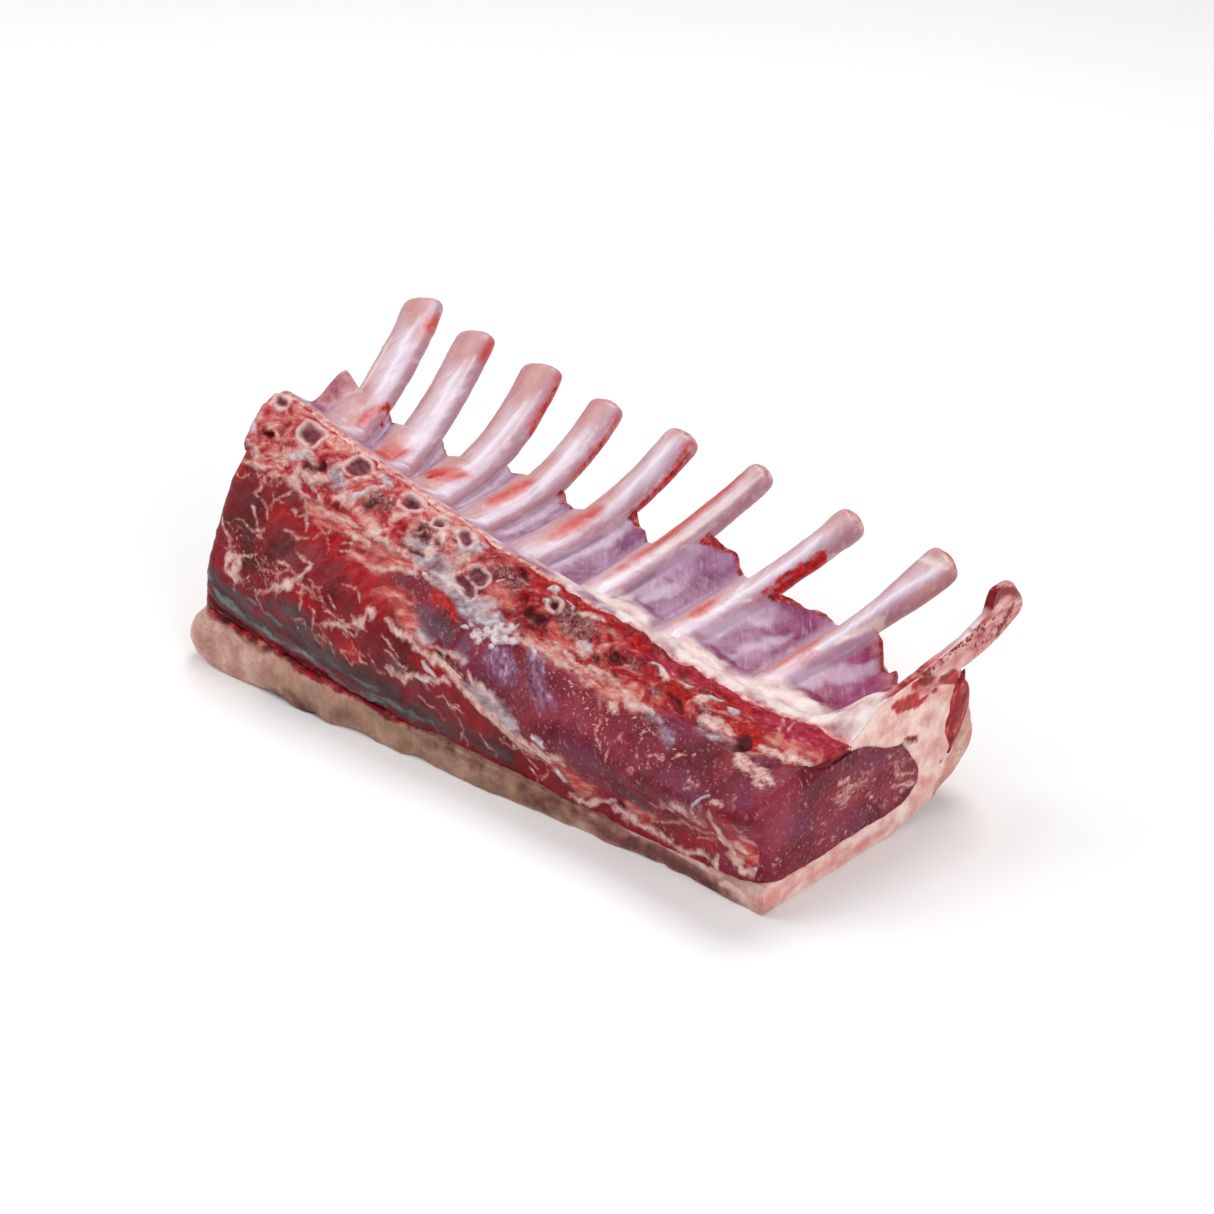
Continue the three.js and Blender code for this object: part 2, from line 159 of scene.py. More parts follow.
def spline(points, part):
    """Catmull-Rom curve through the points, at shares of the way along it."""
    last = len(points) - 1
    knots = np.stack([np.broadcast_to(point, part.shape) for point in points])
    place = np.clip(part, 0, 1) * last
    low = np.minimum(np.floor(place).astype(int), last - 1)
    t = place - low
    who = np.arange(part.size)
    p0, p1, p2, p3 = (knots[np.clip(low + step, 0, last), who] for step in (-1, 0, 1, 2))
    v0 = (p2 - p0) / 2
    v1 = (p3 - p1) / 2
    return (2 * p1 - 2 * p2 + v0 + v1) * t**3 + (3 * p2 - 3 * p1 - 2 * v0 - v1) * t**2 + v0 * t + p1


def along(line, x):
    return spline(line, share(x))


def swell(x, y, length):
    """Low swells that keep cut meat from looking turned."""
    return np.sin(x / length + 1.3 * np.sin(y / length)) * np.cos(y / length + x / 31)


def speckle(places, size, seed):
    """Smooth noise from -1 to 1 with bumps of about that size, at (n, 3) places."""
    scaled = places / size
    cell = np.floor(scaled).astype(np.int64)
    part = scaled - cell
    part = part * part * (3 - 2 * part)
    total = np.zeros(len(places))
    for corner in itertools.product((0, 1), repeat=3):
        near = cell + corner
        mixed = near[
            :, 0] * 73856093 ^ near[:, 1] * 19349663 ^ near[:, 2] * 83492791 ^ seed * 2654435
        mixed = ((mixed ^ (mixed >> 13)) * 1274126177) & 0xFFFFFFFF
        value = ((mixed ^ (mixed >> 16)) & 0xFFFF) / 32767.5 - 1
        weight = np.prod(np.where(corner, part, 1 - part), axis=1)
        total += weight * value
    return total


def rough(places, size, seed, octaves=3):
    """Noise with finer noise on it."""
    return sum(speckle(places, size / 2**i, seed + i) / 2**i for i in range(octaves))


def chest_height(x, y):
    """Chest side of the rack, as a height over the XY plane."""
    out = y - along(RIDGE_Y, x)
    near_shoulder = 1 - smooth(x, SHOULDER_END, SHOULDER_END + 25)
    near_loin = smooth(x, LOIN_END - 23, LOIN_END)
    dip = WALL_DIP + np.sin(np.pi * share(x)) - 1.2 * near_shoulder - 4.5 * near_loin
    rise = 3.5 + 16 * share(x)
    climb = (dip + rise) * (np.maximum(out, 0) / WALL_REACH) ** 2.7
    return along(RIDGE_Z, x) - dip * smooth(out, 0, 14) + climb


def loin_lift(x, y):
    """The chest side ramps up to the last rib."""
    out = y - along(RIDGE_Y, x)
    ramp = smooth(x, LOIN_END - 20, LOIN_END - 2) * smooth(out, 0, 15)
    return LOIN_LIFT * ramp * (1 - smooth(y, 64, 96))


def rib_x(rib, y):
    out = y - LEAN_FROM_Y
    return rib["foot"] + rib["lean"] * out + rib["bend"] * out**2


def trim_line(x):
    """Y of the trimmed edge, cut differently between each two ribs."""
    edge = along(TRIM_Y, x)
    knots = []
    for number, rib in enumerate(RIBS):
        middle, half = rib_x(rib, edge), rib["width"] / 2 + RIB_GAP
        if rib.get("sawn"):
            middle, half = np.minimum(middle, LOIN_END - 1), SAWN_RIB_GAP
        before = TRIM_SHIFTS[number - 1][2] if number else TRIM_END_SHIFTS[0]
        knots.append((middle - half, before))
        if number == len(TRIM_SHIFTS):
            knots.append((middle, TRIM_END_SHIFTS[1]))
        if number < len(TRIM_SHIFTS):
            knots.append((middle + half, TRIM_SHIFTS[number][0]))
            next_rib = RIBS[number + 1]
            next_left = rib_x(next_rib, edge) - next_rib["width"] / 2 - RIB_GAP
            knots.append((lerp(middle + half, next_left, 0.5), TRIM_SHIFTS[number][1]))
    shift = np.full(x.shape, float(knots[0][1]))
    for (start, low), (end, high) in zip(knots, knots[1:]):
        shift = np.where(x > start, lerp(low, high, smooth(x, start, end)), shift)
    return edge + shift


def wall_foot(x):
    return along(RIDGE_Y, x) + 0.2


def wall_thickness(x, v):
    """The rib cage is thinnest along the backbone, most of all at the loin end."""
    near_loin = smooth(x, LOIN_END - 40, LOIN_END)
    thin = lerp(3.4, 1.4, near_loin)
    return lerp(thin, WALL_DEPTH, smooth(v, 0, lerp(0.15, 0.4, near_loin))) * (1 - 0.12 * near_loin)


def chest_floor(x, y, v):
    """Underside of the rib cage."""
    return chest_height(x, y) - wall_thickness(x, v) + 0.45 * loin_lift(x, y)


def chine_depth(x):
    """How deep the sawn backbone is. It thins out towards the loin end."""
    return lerp(CHINE_DEPTH, 2.2, smooth(x, 45, LOIN_END))


def skewed(x, y):
    """The loin end is one plane cut through every piece."""
    return x + LOIN_CUT_SKEW * np.maximum(y, 0) * share(x) ** 3


def stations(x):
    """The section at x: its corners as (y, z), and the fat's toe, depth and flat end."""
    trim_y = trim_line(x)
    trim_z = chest_floor(x, trim_y, 1)
    at_cut = smooth(x, LOIN_END - 4, LOIN_END)
    return dict(
        front=(along(FAT_TOP_Y, x), along(FAT_TOP_Z, x)),
        toe=along(FAT_BOTTOM_Y, x),
        depth=along(FAT_DEPTH, x),
        flat_end=along(FLAT_END_Y, x),
        belly=(along(BELLY_Y, x), along(BELLY_Z, x)),
        tip=(along(EYE_TIP_Y, x), along(EYE_TIP_Z, x)),
        ridge=(along(RIDGE_Y, x), along(RIDGE_Z, x)),
        chine_front=(along(CHINE_FRONT_Y, x), along(CHINE_FRONT_Z, x)),
        trim=(trim_y, trim_z),
        flap=(trim_y + lerp(0.7, 4, at_cut), trim_z + lerp(0.2, 2.6, at_cut)),
    )


def line_places(x, y=0.0):
    """Places on a straight line along the rack, for noise that changes only along it."""
    return np.stack((x, np.full_like(x, y), np.zeros_like(x)), axis=1)


def section(points, part):
    """A curve in the section, given by its (y, z) points."""
    return spline([y for y, _ in points], part), spline([z for _, z in points], part)


def skin_curve(s, part):
    """Outside of the fat, from its front edge under the rack and up to the trimmed edge."""
    front_y, front_z = s["front"]
    belly_y, belly_z = s["belly"]
    toe, flat_end = s["toe"], s["flat_end"]
    flap_y, flap_z = s["flap"]
    return section([
        (front_y, front_z),
        (toe - 0.14 * front_z - 0.6, front_z * 0.5),
        (toe, 0),
        (lerp(toe, flat_end, 0.33), 0),
        (lerp(toe, flat_end, 0.7), 0),
        (flat_end, 0),
        (lerp(flat_end, belly_y, 0.36), belly_z * 0.13),
        (lerp(flat_end, belly_y, 0.74), belly_z * 0.42),
        (belly_y, belly_z),
        (lerp(belly_y, flap_y, 0.24), lerp(belly_z, flap_z, 0.38)),
        (lerp(belly_y, flap_y, 0.6), lerp(belly_z, flap_z, 0.74)),
        (flap_y, flap_z),
    ], part)


def fat_top_curve(s, part):
    """Top of the fat, round the tip of the eye and back out below the rib cage."""
    front_y, front_z = s["front"]
    tip_y, tip_z = s["tip"]
    depth, (trim_y, trim_z) = s["depth"], s["trim"]
    hook_y, hook_z = tip_y - 7, np.minimum(trim_z - 2, tip_z + 15)
    return section([
        (front_y + 1.5, front_z + 0.2),
        (front_y + 5, lerp(front_z, depth, 0.35)),
        (front_y + 10, lerp(front_z, depth, 0.8)),
        (lerp(front_y, tip_y, 0.36), depth),
        (lerp(front_y, tip_y, 0.6), depth),
        (tip_y - 15, depth),
        (tip_y - 6.5, lerp(depth, tip_z, 0.12)),
        (tip_y - 1.6, lerp(depth, tip_z, 0.5)),
        (tip_y, tip_z),
        (tip_y - 1.2, lerp(tip_z, hook_z, 0.5)),
        (lerp(hook_y, trim_y, 0.12), hook_z),
        (trim_y - 0.6, trim_z - 0.1),
    ], part)


def roof_curve(s, x, part):
    """Roof over the muscles: under the chine, then under the rib cage, down to the eye's tip."""
    foot = wall_foot(x)

    def under(y):
        v = np.maximum(0, y - foot) / (s["trim"][0] - foot)
        return chest_floor(x, y, v) - 0.2

    front_y, front_z = s["chine_front"]
    ridge_y, ridge_z = s["ridge"]
    tip_y, tip_z = s["tip"]
    seat = chine_depth(x) + 0.3
    shoulder_y = tip_y - 12.5
    shoulder_z = np.minimum(under(shoulder_y), tip_z + 14)

    def across(portion):
        return lerp(ridge_y, shoulder_y, portion)

    return section([
        (front_y + 0.1, front_z - 0.2),
        (lerp(front_y, ridge_y, 0.5), lerp(front_z, ridge_z, 0.5) - seat),
        (ridge_y + 0.5, ridge_z - seat),
        (across(0.25), np.minimum(under(across(0.25)), ridge_z - seat) - 0.4),
        (across(0.5), under(across(0.5))),
        (across(0.75), under(across(0.75))),
        (shoulder_y, shoulder_z),
        (tip_y - 6.5, lerp(tip_z, shoulder_z, 0.82)),
        (tip_y - 3.2, lerp(tip_z, shoulder_z, 0.5)),
    ], part)


def rounded_corner(from_end, from_face, radius):
    """Rounds a corner off: distances from its two faces, before and after."""
    c = np.maximum(radius - from_end, 0)
    d = np.maximum(radius - from_face, 0)
    scale = radius / np.maximum(np.hypot(c, d), radius)
    return (np.where(from_end < radius, radius - c * scale, from_end),
            np.where(from_face < radius, radius - d * scale, from_face))


# ---- Making pieces -----------------------------------------------------------------------


def box_of_squares(counts):
    """A closed box a metre wide, each side a grid of squares."""
    box = bmesh.new()
    turns = (Matrix.Rotation(math.pi / 2, 4, "Y"), Matrix.Rotation(math.pi / 2, 4, "X"), Matrix())
    for axis, turn in enumerate(turns):
        across, up = ((counts[2], counts[1]), (counts[0], counts[2]), (counts[0], counts[1]))[axis]
        for side in (-0.5, 0.5):
            shift = Vector((0, 0, 0))
            shift[axis] = side
            place = Matrix.Translation(shift) @ turn
            bmesh.ops.create_grid(box, x_segments=across, y_segments=up, size=0.5, matrix=place)
    bmesh.ops.remove_doubles(box, verts=box.verts, dist=1e-5)
    return box


class Piece:
    """A box of small squares bent to shape. The place function gets each corner's shares of
    the length, width and height, and gives its x, y and z."""

    def __init__(self, name, counts, place, soften=4, soften_reach=3):
        box = box_of_squares(counts)
        self.mesh = bpy.data.meshes.new(name)
        box.to_mesh(self.mesh)
        box.free()
        count = len(self.mesh.vertices)
        flat = np.empty(count * 3)
        self.mesh.vertices.foreach_get("co", flat)
        steps = np.array(counts)
        cells = np.round((flat.reshape(-1, 3) + 0.5) * steps)
        self.u, self.v, self.w = (cells / steps).T
        self.points = np.stack(place(self.u, self.v, self.w), axis=1)
        self.write()
        from_edge = np.sort(np.minimum(cells, steps - cells), axis=1)[:, 1]
        self.tidy(np.flatnonzero(from_edge <= soften_reach), soften)

    def write(self):
        shift = np.array((*BASE_MIDDLE, 0))
        self.mesh.vertices.foreach_set("co", ((self.points - shift) * MM).ravel())
        self.mesh.update()

    def tidy(self, edge_corners, rounds):
        """Rounds the long edges off, and turns the faces outwards."""
        work = bmesh.new()
        work.from_mesh(self.mesh)
        work.verts.ensure_lookup_table()
        rim = [work.verts[i] for i in edge_corners]
        for _ in range(rounds):
            bmesh.ops.smooth_vert(
                work, verts=rim, factor=0.5, use_axis_x=True, use_axis_y=True, use_axis_z=True)
        bmesh.ops.recalc_face_normals(work, faces=work.faces)
        work.to_mesh(self.mesh)
        work.free()
        flat = np.empty(len(self.mesh.vertices) * 3)
        self.mesh.vertices.foreach_get("co", flat)
        self.points = flat.reshape(-1, 3) / MM + np.array((*BASE_MIDDLE, 0))

    def raise_by(self, height):
        """Moves every corner out along its normal by its height in millimetres."""
        flat = np.empty(len(self.mesh.vertices) * 3)
        self.mesh.vertices.foreach_get("normal", flat)
        self.points = self.points + flat.reshape(-1, 3) * np.asarray(height)[:, None]
        self.write()

    def paint(self, name, values):
        layer = self.mesh.attributes.new(name, "FLOAT", "POINT")
        layer.data.foreach_set("value", values.astype(np.float32))

    def finish(self, material, slot, *nodes):
        self.mesh.polygons.foreach_set("use_smooth", np.ones(len(self.mesh.polygons), dtype=bool))
        self.mesh.set_sharp_from_angle(angle=math.radians(70))
        self.mesh.materials.append(material)
        piece = bpy.data.objects.new(self.mesh.name, self.mesh)
        bpy.context.scene.collection.objects.link(piece)
        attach(piece, "root")
        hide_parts(*nodes)


# ---- Strokes: streaks, patches and lumps laid on one by one ------------------------------

FAR = 6.0             # millimetres past which a stroke isn't felt
WANDER_SIZE = 4.5     # millimetres from bend to bend in a wavering stroke
TAPER = 0.6           # share of its width that a long stroke loses towards its ends


def wandered(a, b, seed, amount=0.9):
    """Two flat coordinates shifted by noise, so that strokes laid in them waver."""
    flat = np.stack((a, b, np.zeros_like(a)), axis=1)
    shift_a, shift_b = (rough(flat, WANDER_SIZE, s, octaves=2) for s in (seed, seed + 7))
    return a + shift_a * amount, b + shift_b * amount


def stroke_gap(a, b, strokes):
    """Millimetres from each place (a, b) to the edge of the nearest stroke, below 0 inside it.
    A stroke is its half width and the points it runs through. A long one tapers to both ends."""
    gap = np.full(a.shape, FAR)
    for half, *points in strokes:
        points = np.array(points, dtype=float)
        low = points.min(axis=0) - half - FAR
        high = points.max(axis=0) + half + FAR
        near = np.flatnonzero((a > low[0]) & (a < high[0]) & (b > low[1]) & (b < high[1]))
        runs = len(points) - 1
        length = np.hypot(*np.diff(points, axis=0).T).sum()
        for run in range(max(runs, 1)):
            start = points[run]
            step = points[min(run + 1, runs)] - start
            da = a[near] - start[0]
            db = b[near] - start[1]
            part = np.clip((da * step[0] + db * step[1]) / max(step @ step, 1e-9), 0, 1)
            way = np.pi * (run + part) / max(runs, 1)
            wide = half
            if length > 1.3 * half:
                wide = half * (1 - TAPER + TAPER * np.sqrt(np.sin(way).clip(0)))
            reach = np.hypot(da - part * step[0], db - part * step[1]) - wide
            gap[near] = np.minimum(gap[near], reach)
    return gap


def cover_of(gap, soft):
    """Share of cover from a distance to the edge: 1 inside, 0 from soft outside."""
    return 1 - smooth(gap, -soft, soft)


# ---- Finishes ----------------------------------------------------------------------------


def rgba(code):
    """Linear colour of a web colour."""
    shares = [int(code[i:i + 2], 16) / 255 for i in (1, 3, 5)]
    return (*(c / 12.92 if c <= 0.04045 else ((c + 0.055) / 1.055) ** 2.4 for c in shares), 1)


class Finish:
    """The nodes of one procedural finish, with its colour so far. Sizes are in millimetres."""

    def __init__(self, name, **constants):
        self.material = bpy.data.materials.new(name)
        self.material.use_nodes = True
        self.nodes = self.material.node_tree.nodes
        self.links = self.material.node_tree.links
        self.shader = self.nodes["Principled BSDF"]
        self.place = self.nodes.new("ShaderNodeTexCoord").outputs["Object"]
        for socket, value in constants.items():
            self.shader.inputs[socket.replace("_", " ")].default_value = value

    def put(self, value, socket):
        if isinstance(value, str):
            value = rgba(value)
        if isinstance(value, bpy.types.NodeSocket):
            self.links.new(value, socket)
        else:
            socket.default_value = value

    def maths(self, operation, *values):
        node = self.nodes.new("ShaderNodeMath")
        node.operation = operation
        for value, socket in zip(values, node.inputs):
            self.put(value, socket)
        return node.outputs[0]

    def noise(self, size, detail=3.0, roughness=0.55, warp=0.0, stretch=(1, 1, 1), turn=(0, 0, 0)):
        place = self.place
        if stretch != (1, 1, 1) or turn != (0, 0, 0):
            mapping = self.nodes.new("ShaderNodeMapping")
            mapping.vector_type = "TEXTURE"
            mapping.inputs["Scale"].default_value = stretch
            mapping.inputs["Rotation"].default_value = [math.radians(angle) for angle in turn]
            self.links.new(place, mapping.inputs["Vector"])
            place = mapping.outputs[0]
        node = self.nodes.new("ShaderNodeTexNoise")
        self.links.new(place, node.inputs["Vector"])
        node.inputs["Scale"].default_value = 1 / (size * MM)
        node.inputs["Detail"].default_value = detail
        node.inputs["Roughness"].default_value = roughness
        node.inputs["Distortion"].default_value = warp
        return node.outputs["Fac"]

    def grains(self, size):
        """Distance from the middle of the nearest of many scattered grains."""
        node = self.nodes.new("ShaderNodeTexVoronoi")
        self.links.new(self.place, node.inputs["Vector"])
        node.inputs["Scale"].default_value = 1 / (size * MM)
        return node.outputs["Distance"]

    def painted(self, name):
        node = self.nodes.new("ShaderNodeAttribute")
        node.attribute_name = name
        return node.outputs["Fac"]

    def span(self, value, low, high, to_low=0.0, to_high=1.0):
        node = self.nodes.new("ShaderNodeMapRange")
        node.interpolation_type = "SMOOTHSTEP"
        for socket, number in zip(node.inputs, (value, low, high, to_low, to_high)):
            self.put(number, socket)
        return node.outputs[0]

    def mix(self, part, a, b):
        node = self.nodes.new("ShaderNodeMix")
        node.data_type = "RGBA"
        self.put(part, node.inputs["Factor"])
        colours = [socket for socket in node.inputs if socket.type == "RGBA"]
        self.put(a, colours[0])
        self.put(b, colours[1])
        return next(socket for socket in node.outputs if socket.type == "RGBA")

    def ramp(self, value, *stops):
        node = self.nodes.new("ShaderNodeValToRGB")
        elements = node.color_ramp.elements
        while len(elements) < len(stops):
            elements.new(0.5)
        for element, (position, colour) in zip(elements, stops):
            element.position = position
            element.color = rgba(colour)
        self.put(value, node.inputs["Fac"])
        return node.outputs["Color"]

    def mottle(self, size, *stops, **settings):
        """Blotches of colour: a noise run through a ramp."""
        return self.ramp(self.noise(size, **settings), *stops)

    def veins(self, size, thin, warp=1.2, **settings):
        """Thin wandering lines: the middle of a noise."""
        field = self.noise(size, warp=warp, **settings)
        off = self.maths("ABSOLUTE", self.maths("SUBTRACT", field, 0.5))
        return self.span(off, thin, 0.0)

    def tint(self, part, colour):
        """Goes over the colour so far."""
        self.colour = self.mix(part, self.colour, colour)

    def coat(self, name, colour, soft=0.3, ragged=0.0, grain=2.0, cover=1.0, detail=3.0,
             broken=None):
        """A coat of colour where a painted distance is below 0, with a soft, ragged edge."""
        gap = self.painted(name)
        if ragged:
            wander = self.maths("SUBTRACT", self.noise(grain, detail=detail), 0.5)
            gap = self.maths("MULTIPLY_ADD", wander, 2 * ragged, gap)
        part = self.span(gap, soft, -soft, 0.0, cover)
        if broken is not None:
            part = self.maths("MULTIPLY", part, broken)
        self.tint(part, colour)
        return part

    def bump(self, height, depth, under=None):
        node = self.nodes.new("ShaderNodeBump")
        node.inputs["Distance"].default_value = depth * MM
        self.put(height, node.inputs["Height"])
        if under is not None:
            self.links.new(under, node.inputs["Normal"])
        return node.outputs["Normal"]

    def done(self, roughness, normal):
        self.put(self.colour, self.shader.inputs["Base Color"])
        self.put(roughness, self.shader.inputs["Roughness"])
        self.put(normal, self.shader.inputs["Normal"])
        return self.material


MEAT_GLOSS = dict(
    Specular_IOR_Level=0.13, Coat_Weight=0.05, Coat_Roughness=0.08, Subsurface_Weight=0.06,
    Subsurface_Scale=0.0015, Subsurface_Radius=(1.0, 0.25, 0.2))
FAT_GLOSS = dict(
    Specular_IOR_Level=0.2, Coat_Weight=0.08, Coat_Roughness=0.15, Subsurface_Weight=0.15,
    Subsurface_Scale=0.002, Subsurface_Radius=(1.0, 0.55, 0.4))
BONE_GLOSS = dict(
    Specular_IOR_Level=0.2, Coat_Weight=0.16, Coat_Roughness=0.12, Subsurface_Weight=0.12,
    Subsurface_Scale=0.002, Subsurface_Radius=(1.0, 0.6, 0.55))


def meat_colour(f, dark, middle, bright, turn):
    """Wet cut muscle: blotches, fibres along one way, and fine pale wisps."""
    tone = f.noise(13, detail=4, roughness=0.55, warp=0.6)
    f.colour = f.ramp(tone, (0.36, dark), (0.5, middle), (0.64, bright))
    fibres = f.noise(1.0, detail=4, roughness=0.6, stretch=(7, 1, 1), turn=turn)
    f.tint(f.span(fibres, 0.52, 0.72, 0, 0.35), bright)
    f.tint(f.span(fibres, 0.46, 0.3, 0, 0.45), dark)
    patches = f.span(f.noise(9, detail=3), 0.5, 0.64)
    wisps = f.maths("MULTIPLY", f.veins(5, 0.014, warp=2.4, detail=4), patches)
    f.tint(f.maths("MULTIPLY", wisps, 0.35), "#c07472")
    return fibres


def bone_crumb(f):
    """Sawn bone and the tissue round it: smooth pink and cream smears with red between."""
    smears = f.noise(6.5, detail=4, roughness=0.55, warp=1.4, stretch=(1.7, 1, 1), turn=(0, -30, 0))
    colour = f.ramp(
        smears, (0.34, "#8e1420"), (0.43, "#b83a42"), (0.51, "#cf7873"), (0.59, "#dfa79f"),
        (0.7, "#ecccc2"))
    fine = f.noise(1.5, detail=4, roughness=0.6, warp=0.8, stretch=(2.2, 1, 1), turn=(0, -25, 0))
    bloody = f.ramp(
        smears, (0.34, "#66080f"), (0.43, "#90121d"), (0.52, "#ab2c30"), (0.6, "#c0625c"),
        (0.7, "#d89e94"))
    colour = f.mix(f.painted("loinward"), colour, bloody)
    colour = f.mix(f.span(fine, 0.56, 0.72, 0, 0.4), colour, "#ecccc1")
    colour = f.mix(f.span(fine, 0.46, 0.32, 0, 0.45), colour, "#8d1420")
    return colour, fine


def cut_face_finish(name, dark, middle, bright, turn, specks_all_over=0.0):
    """The long cut face: muscle below, sawn bone above, and what was laid on both."""
    f = Finish(name, **MEAT_GLOSS)
    fibres = meat_colour(f, dark, middle, bright, turn)
    f.coat("dusk", "#633030", soft=3.5, ragged=3, grain=7, cover=0.5)
    vivid = f.mottle(
        5, (0.34, "#7a0610"), (0.5, "#a40b15"), (0.66, "#b81e24"), detail=4, roughness=0.6)
    f.coat("bright", vivid, soft=4, ragged=3.5, grain=7, cover=0.9)
    bone, crumb = bone_crumb(f)
    bony = f.coat("bone", bone, soft=1.6, ragged=3.0, grain=4, detail=5)
    rosy = f.mottle(
        1.6, (0.34, "#a92c30"), (0.46, "#c75a54"), (0.58, "#d98a80"), (0.72, "#e8b8ac"), detail=4,
        stretch=(4, 1, 1), turn=(0, -12, 0))
    f.coat("flush", rosy, soft=1.8, ragged=2.4, grain=3, cover=0.85)
    sponge = f.noise(1.1, detail=5, roughness=0.7, warp=0.8)
    sponge_tone = f.ramp(
        sponge, (0.36, "#47181e"), (0.46, "#7d3840"), (0.55, "#a76a6b"), (0.65, "#cf9f9a"),
        (0.75, "#e8cdc6"))
    spongy = f.coat("sponge", sponge_tone, soft=1.2, ragged=2.6, grain=2.6, detail=5, cover=0.92)
    marrow = f.mottle(
        1.6, (0.36, "#45060c"), (0.47, "#860c16"), (0.58, "#b02e36"), (0.68, "#cf8580"), detail=5,
        roughness=0.7)
    f.coat("blood", marrow, soft=1.0, ragged=2.2, grain=2.6, detail=5, cover=0.95)
    grain_of_flesh = f.noise(2.0, detail=5, roughness=0.6, stretch=(3.5, 1, 1), turn=(0, 45, 0))
    flesh = f.ramp(
        grain_of_flesh, (0.34, "#7a0b24"), (0.46, "#9e1431"), (0.58, "#b02b46"), (0.7, "#cf7380"))
    f.coat("flesh", flesh, soft=0.8, ragged=2.2, grain=3, detail=5)
    gore = f.mottle(
        2.2, (0.36, "#6b0308"), (0.5, "#a90b11"), (0.62, "#bf2223"), (0.74, "#d8665e"), detail=5,
        roughness=0.6)
    f.coat("gore", gore, soft=0.8, ragged=2.0, grain=2.4, detail=5)
    scarlet = f.mottle(2.6, (0.36, "#8a060a"), (0.5, "#a90d12"), (0.64, "#c0322e"), detail=4)
    f.coat("scarlet", scarlet, soft=1.1, ragged=1.6, grain=2, cover=0.9)
    haze = f.mottle(
        3.4, (0.34, "#7a6068"), (0.46, "#a3939c"), (0.56, "#c3b6bd"), (0.7, "#e9e0e3"), detail=5,
        roughness=0.55, warp=0.8, stretch=(2.2, 1, 1), turn=(0, -30, 0))
    f.coat("veil", haze, soft=1.4, ragged=2.4, grain=2.6, cover=0.88, detail=5)
    f.coat("mist", "#5e4656", soft=1.6, ragged=2.4, grain=3, cover=0.75)
    # Painted sheen: plum-purple patches standing in for light glancing off the wet muscle.
    f.coat("plum", "#74304f", soft=3, ragged=2.4, grain=4, cover=0.6)
    slate = f.mottle(
        3.2, (0.34, "#3a1f22"), (0.5, "#4d3b3c"), (0.68, "#5a5252"), detail=4, stretch=(5, 1, 1),
        turn=(0, 8, 0))
    f.coat("slate", slate, soft=2.2, ragged=2.6, grain=4, cover=0.88)
    # Grey-blue fascia along the fat's top, lightened in streaks by painted highlight.
    sheath = f.mottle(
        3, (0.36, "#453c3e"), (0.5, "#626a6b"), (0.66, "#7a8789"), detail=4, stretch=(3, 1, 1))
    f.coat("sheath", sheath, soft=0.5, ragged=1.1, grain=2.6, cover=0.85)
    silk = f.noise(1.1, detail=3, stretch=(14, 1, 1), turn=(0, 52, -20))
    silk_tone = f.ramp(
        silk, (0.36, "#6a3a5a"), (0.48, "#84587c"), (0.6, "#a088a4"), (0.72, "#cdc0d2"))
    f.coat("silver", silk_tone, soft=2.0, ragged=2.0, grain=3, cover=0.8)
    # Painted shade: near-black red lines in the creases and seams between fat, muscle and bone.
    f.coat("dark", "#330509", soft=0.6, ragged=1.0, grain=1.6, cover=0.85)
    flecks = f.noise(0.9, detail=3, roughness=0.55, stretch=(1.8, 1, 1), turn=(0, 50, 0))
    specks = f.span(flecks, 0.58, 0.64)
    gate = f.maths("MAXIMUM", f.span(f.painted("speck"), 3.5, -3), specks_all_over)
    specks = f.maths("MULTIPLY", specks, f.maths("MULTIPLY", gate, f.maths("SUBTRACT", 1.0, bony)))
    f.tint(specks, "#cc9a96")
    breaks = f.span(f.noise(0.9, detail=4, roughness=0.65), 0.34, 0.5, 0.35, 1.0)
    wisp_tone = f.mottle(2.6, (0.34, "#b0605c"), (0.5, "#cc8e86"), (0.68, "#e6c0b4"), detail=4)
    f.coat("wisp", wisp_tone, soft=0.45, ragged=0.8, grain=1.1, detail=4, broken=breaks)
    cream = f.mottle(
        2.0, (0.32, "#b76f68"), (0.44, "#d09c94"), (0.58, "#dfbab1"), (0.74, "#ecd5cc"), detail=5,
        roughness=0.6)
    streaks = f.coat("cream", cream, soft=0.75, ragged=1.5, grain=1.8, detail=5)
    pearl = f.mottle(1.6, (0.34, "#ab8b90"), (0.5, "#cab3b7"), (0.68, "#e2d5d8"), detail=4)
    pearls = f.coat("white", pearl, soft=0.35, ragged=0.5, grain=1.4, detail=3)
    rim = f.span(f.maths("ABSOLUTE", f.maths("SUBTRACT", f.painted("hole"), 0.8)), 1.1, 0.2)
    rim = f.maths("MULTIPLY", rim, f.span(f.noise(3, detail=4), 0.34, 0.52))
    f.tint(f.maths("MULTIPLY", rim, 0.75), "#e4c8c4")
    core = f.mottle(
        2.2, (0.34, "#471824"), (0.48, "#672c3b"), (0.6, "#82424f"), (0.76, "#a9777f"), detail=5,
        roughness=0.6)
    f.coat("hole", core, soft=0.9, ragged=0.5, grain=2.4, detail=4, cover=0.95)
    # Pits: dark blood in the bone's small holes, deepened to near black by painted shade.
    f.coat("pit", "#3d0a10", soft=0.9, ragged=1.3, grain=1.8, detail=4, cover=0.9)
    pale = f.maths("MAXIMUM", f.maths("MAXIMUM", streaks, pearls), specks)
    relief = f.bump(fibres, 0.25)
    relief = f.bump(f.maths("MULTIPLY", crumb, bony), 0.6, relief)
    relief = f.bump(f.maths("MULTIPLY", sponge, spongy), 0.8, relief)
    relief = f.bump(pale, 0.22, relief)
    relief = f.bump(f.noise(2.4, detail=5, roughness=0.65), 0.4, relief)
    gloss = f.span(f.noise(4, detail=4), 0.3, 0.7, 0.24, 0.42)
    return f.done(f.maths("MULTIPLY_ADD", pale, 0.08, gloss), relief)


